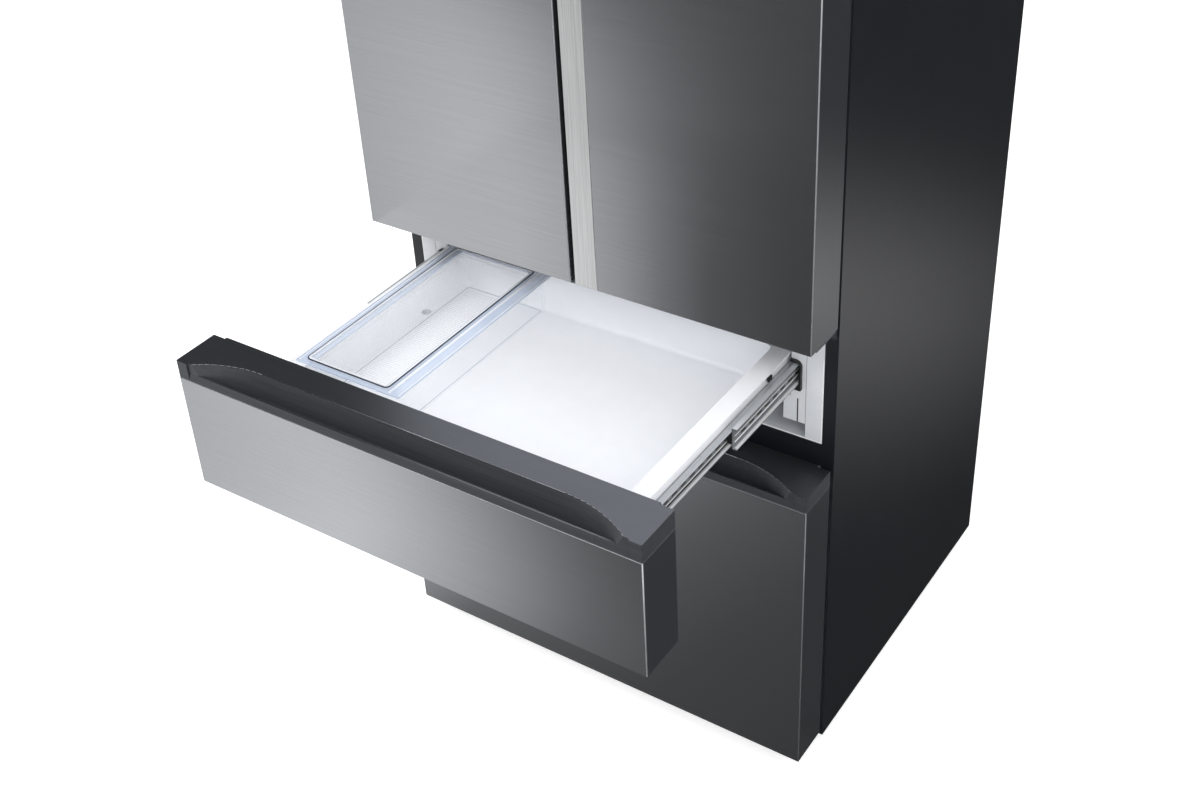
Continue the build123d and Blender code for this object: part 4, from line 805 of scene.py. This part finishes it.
world = bpy.data.worlds.new("studio")
bpy.context.scene.world = world
world.use_nodes = True
tree = world.node_tree
back = tree.nodes["Background"]
back.inputs["Color"].default_value = (1, 1, 1, 1)
path = add_node(tree, "ShaderNodeLightPath")
seen = maths(tree, "MAXIMUM", path.outputs["Is Camera Ray"], path.outputs["Is Glossy Ray"])
shown = maths(tree, "MAXIMUM", seen, path.outputs["Is Transmission Ray"])
level = add_node(tree, "ShaderNodeMapRange", None, {"Value": shown, "To Min": 0.8, "To Max": 1.0})
tree.links.new(level.outputs["Result"], back.inputs["Strength"])

# Studio cards.  Grey cards lie on the floor, stand round the object and hang over the open
# drawer, seen only by its polished surfaces: the steel fronts mirror bright paper on the left
# and a dark card on the right, and the cabinet's side a dark card with one soft lit patch.


def card(name, points, build):
    """A flat card that only mirrors see, from its front; build returns its brightness."""
    mesh = bpy.data.meshes.new(name)
    mesh.from_pydata(points, [], [(0, 1, 2, 3)])
    made = placed(name, mesh)
    made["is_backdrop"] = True
    made.visible_camera = False
    made.visible_diffuse = False
    made.visible_transmission = False
    made.visible_shadow = False
    skin = bpy.data.materials.new(name + "_paper")
    skin.use_nodes = True
    tree = skin.node_tree
    place = add_node(tree, "ShaderNodeTexCoord")
    axes = add_node(tree, "ShaderNodeSeparateXYZ", None, {"Vector": place.outputs["Object"]})
    level = build(tree, axes, place)
    glow = add_node(tree, "ShaderNodeEmission", None, {"Color": level, "Strength": 1.0})
    clear = add_node(tree, "ShaderNodeBsdfTransparent")
    side = add_node(tree, "ShaderNodeNewGeometry")
    shown = add_node(tree, "ShaderNodeMixShader", None, {
        "Fac": side.outputs["Backfacing"], 1: glow.outputs["Emission"], 2: clear.outputs["BSDF"]})
    tree.links.new(shown.outputs["Shader"], tree.nodes["Material Output"].inputs["Surface"])
    mesh.materials.append(skin)


def paper_shades(tree, across, low, high, stops):
    """Grey paper whose level follows the stops, which are (distance across it, level)."""
    spread = add_node(tree, "ShaderNodeMapRange", None, {
        "Value": across, "From Min": low, "From Max": high})
    ramp = add_node(tree, "ShaderNodeValToRGB", None, {"Fac": spread.outputs["Result"]})
    elements = ramp.color_ramp.elements
    elements.remove(elements[1])
    first = stops[0][1]
    elements[0].position = 0.0
    elements[0].color = (first, first, first, 1)
    for at, level in stops:
        elements.new((at - low) / (high - low)).color = (level, level, level, 1)
    return ramp.outputs["Color"]


def front_card_level(tree, axes, place):
    """Bright on the left, falling to dark on the right along an edge bent from four lines."""
    middle, beyond, near, close = (
        maths(tree, "MULTIPLY_ADD", axes.outputs["Y"], slope, start)
        for slope, start in ((0.912, 1.446), (1.568, 3.218), (1.427, 2.263), (-0.25, 0.275)))
    far = maths(tree, "MINIMUM", middle, beyond)
    back_off = maths(tree, "MAXIMUM", far, near)
    bent = maths(tree, "MINIMUM", back_off, close)
    across = maths(tree, "SUBTRACT", axes.outputs["X"], bent)
    return paper_shades(tree, across, -4.0, 1.0, [
        (-3.24, 0.38), (-2.04, 0.69), (-1.54, 0.86), (-1.24, 1.1), (-1.0, 0.78), (-0.82, 0.50),
        (-0.66, 0.24), (-0.49, 0.16), (-0.24, 0.10), (0.26, 0.06)])


def front_wall_level(tree, axes, place):
    """The same fall from bright to dark, upright behind the front card."""
    return paper_shades(tree, axes.outputs["X"], -12.0, 0.0, [
        (-11.0, 0.60), (-9.0, 0.57), (-7.2, 0.42), (-6.2, 0.25), (-5.2, 0.09), (-4.0, 0.03),
        (-1.0, 0.03)])


def bin_card_level(tree, axes, place):
    """The same fall, over the open drawer, so the doors don't mirror its bin and cap.

    The level follows the place on the door where the camera sees the card mirrored.
    """
    front, eye_x, eye_distance = 0.146, 1.248, 1.704
    back = maths(tree, "MULTIPLY_ADD", axes.outputs["Y"], -1 / eye_distance, -front / eye_distance)
    moved = maths(tree, "MULTIPLY_ADD", back, eye_x, axes.outputs["X"])
    grown = maths(tree, "ADD", back, 1.0)
    at_door = maths(tree, "DIVIDE", moved, grown)
    return paper_shades(tree, at_door, -0.5, 0.5, [
        (-0.45, 0.86), (-0.1, 0.84), (0.0, 0.72), (0.08, 0.55), (0.16, 0.3), (0.24, 0.15),
        (0.38, 0.09)])


def side_card_level(tree, axes, place):
    """Dark, with one soft patch of light beside the object."""
    offset = add_node(tree, "ShaderNodeMapping", {"vector_type": "TEXTURE"}, {
        "Vector": place.outputs["Object"], "Location": (1.3, 1.2, 0), "Scale": (0.95, 1.1, 1)})
    patch = add_node(tree, "ShaderNodeTexGradient", {"gradient_type": "QUADRATIC_SPHERE"}, {
        "Vector": offset.outputs["Vector"]})
    level = add_node(tree, "ShaderNodeMapRange", None,
                     {"Value": patch.outputs["Fac"], "To Min": 0.05, "To Max": 1.5})
    return level.outputs["Result"]


def plain_dark_level(tree, axes, place):
    """An even dark card with a slow fall towards its lower edge."""
    ramp = add_node(tree, "ShaderNodeValToRGB", None, {"Fac": axes.outputs["Z"]})
    ramp.color_ramp.elements[0].color = (0.16, 0.16, 0.165, 1)
    ramp.color_ramp.elements[1].color = (0.12, 0.12, 0.125, 1)
    return ramp.outputs["Color"]


card("front_card", [(-14, -9, 0.003), (3.5, -9, 0.003), (3.5, -0.06, 0.003), (-14, -0.06, 0.003)],
     front_card_level)
card("front_wall_card", [(-14, -8.9, 0), (3.5, -8.9, 0), (3.5, -8.9, 11), (-14, -8.9, 11)],
     front_wall_level)
card("bin_card", [
    (-0.41, -0.605, 0.874), (0.41, -0.605, 0.874), (0.41, -0.15, 0.874), (-0.41, -0.15, 0.874)],
    bin_card_level)
card("side_card", [(0.36, -0.06, 0.003), (14, -0.06, 0.003), (14, 16, 0.003), (0.36, 16, 0.003)],
     side_card_level)
card("back_left_card", [(-6, -1.2, 0.1), (-0.9, 3.0, 0.1), (-0.9, 3.0, 6.5), (-6, -1.2, 6.5)],
     plain_dark_level)


def soft_box(name, place, aim, size, watts):
    """A square soft light."""
    lamp = bpy.data.lights.new(name, "AREA")
    lamp.size = size
    lamp.energy = watts
    made = placed(name, lamp)
    made.location = place
    made.rotation_euler = (Vector(aim) - Vector(place)).to_track_quat("-Z", "Y").to_euler()


soft_box("key_light", (-1.6, -2.6, 4.2), (0, -0.2, 0.8), 2.6, 90)
soft_box("fill_light", (3.2, -2.0, 2.8), (0, 0, 0.9), 2.5, 45)

# Camera, at the photograph's place: 36 degrees round to the right and 34 degrees up.

camera_data = bpy.data.cameras.new("camera")
camera_data.sensor_width = 36.0
camera_data.lens = 48.08
camera_data.shift_x = 0.0056
camera_data.shift_y = -0.0535
camera_data.clip_end = 60.0
camera = placed("camera", camera_data)
right = Vector((0.83104, 0.55405, -0.04902))
down = Vector((0.27320, -0.48337, -0.83170))
ahead = Vector((-0.48450, 0.67778, -0.55306))
camera.matrix_world = Matrix.Translation((1.24806, -1.84989, 2.18296)) @ Matrix((
    (right.x, -down.x, -ahead.x), (right.y, -down.y, -ahead.y),
    (right.z, -down.z, -ahead.z))).to_4x4()
bpy.context.scene.camera = camera
bpy.context.scene.view_settings.view_transform = "Standard"

low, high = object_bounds()
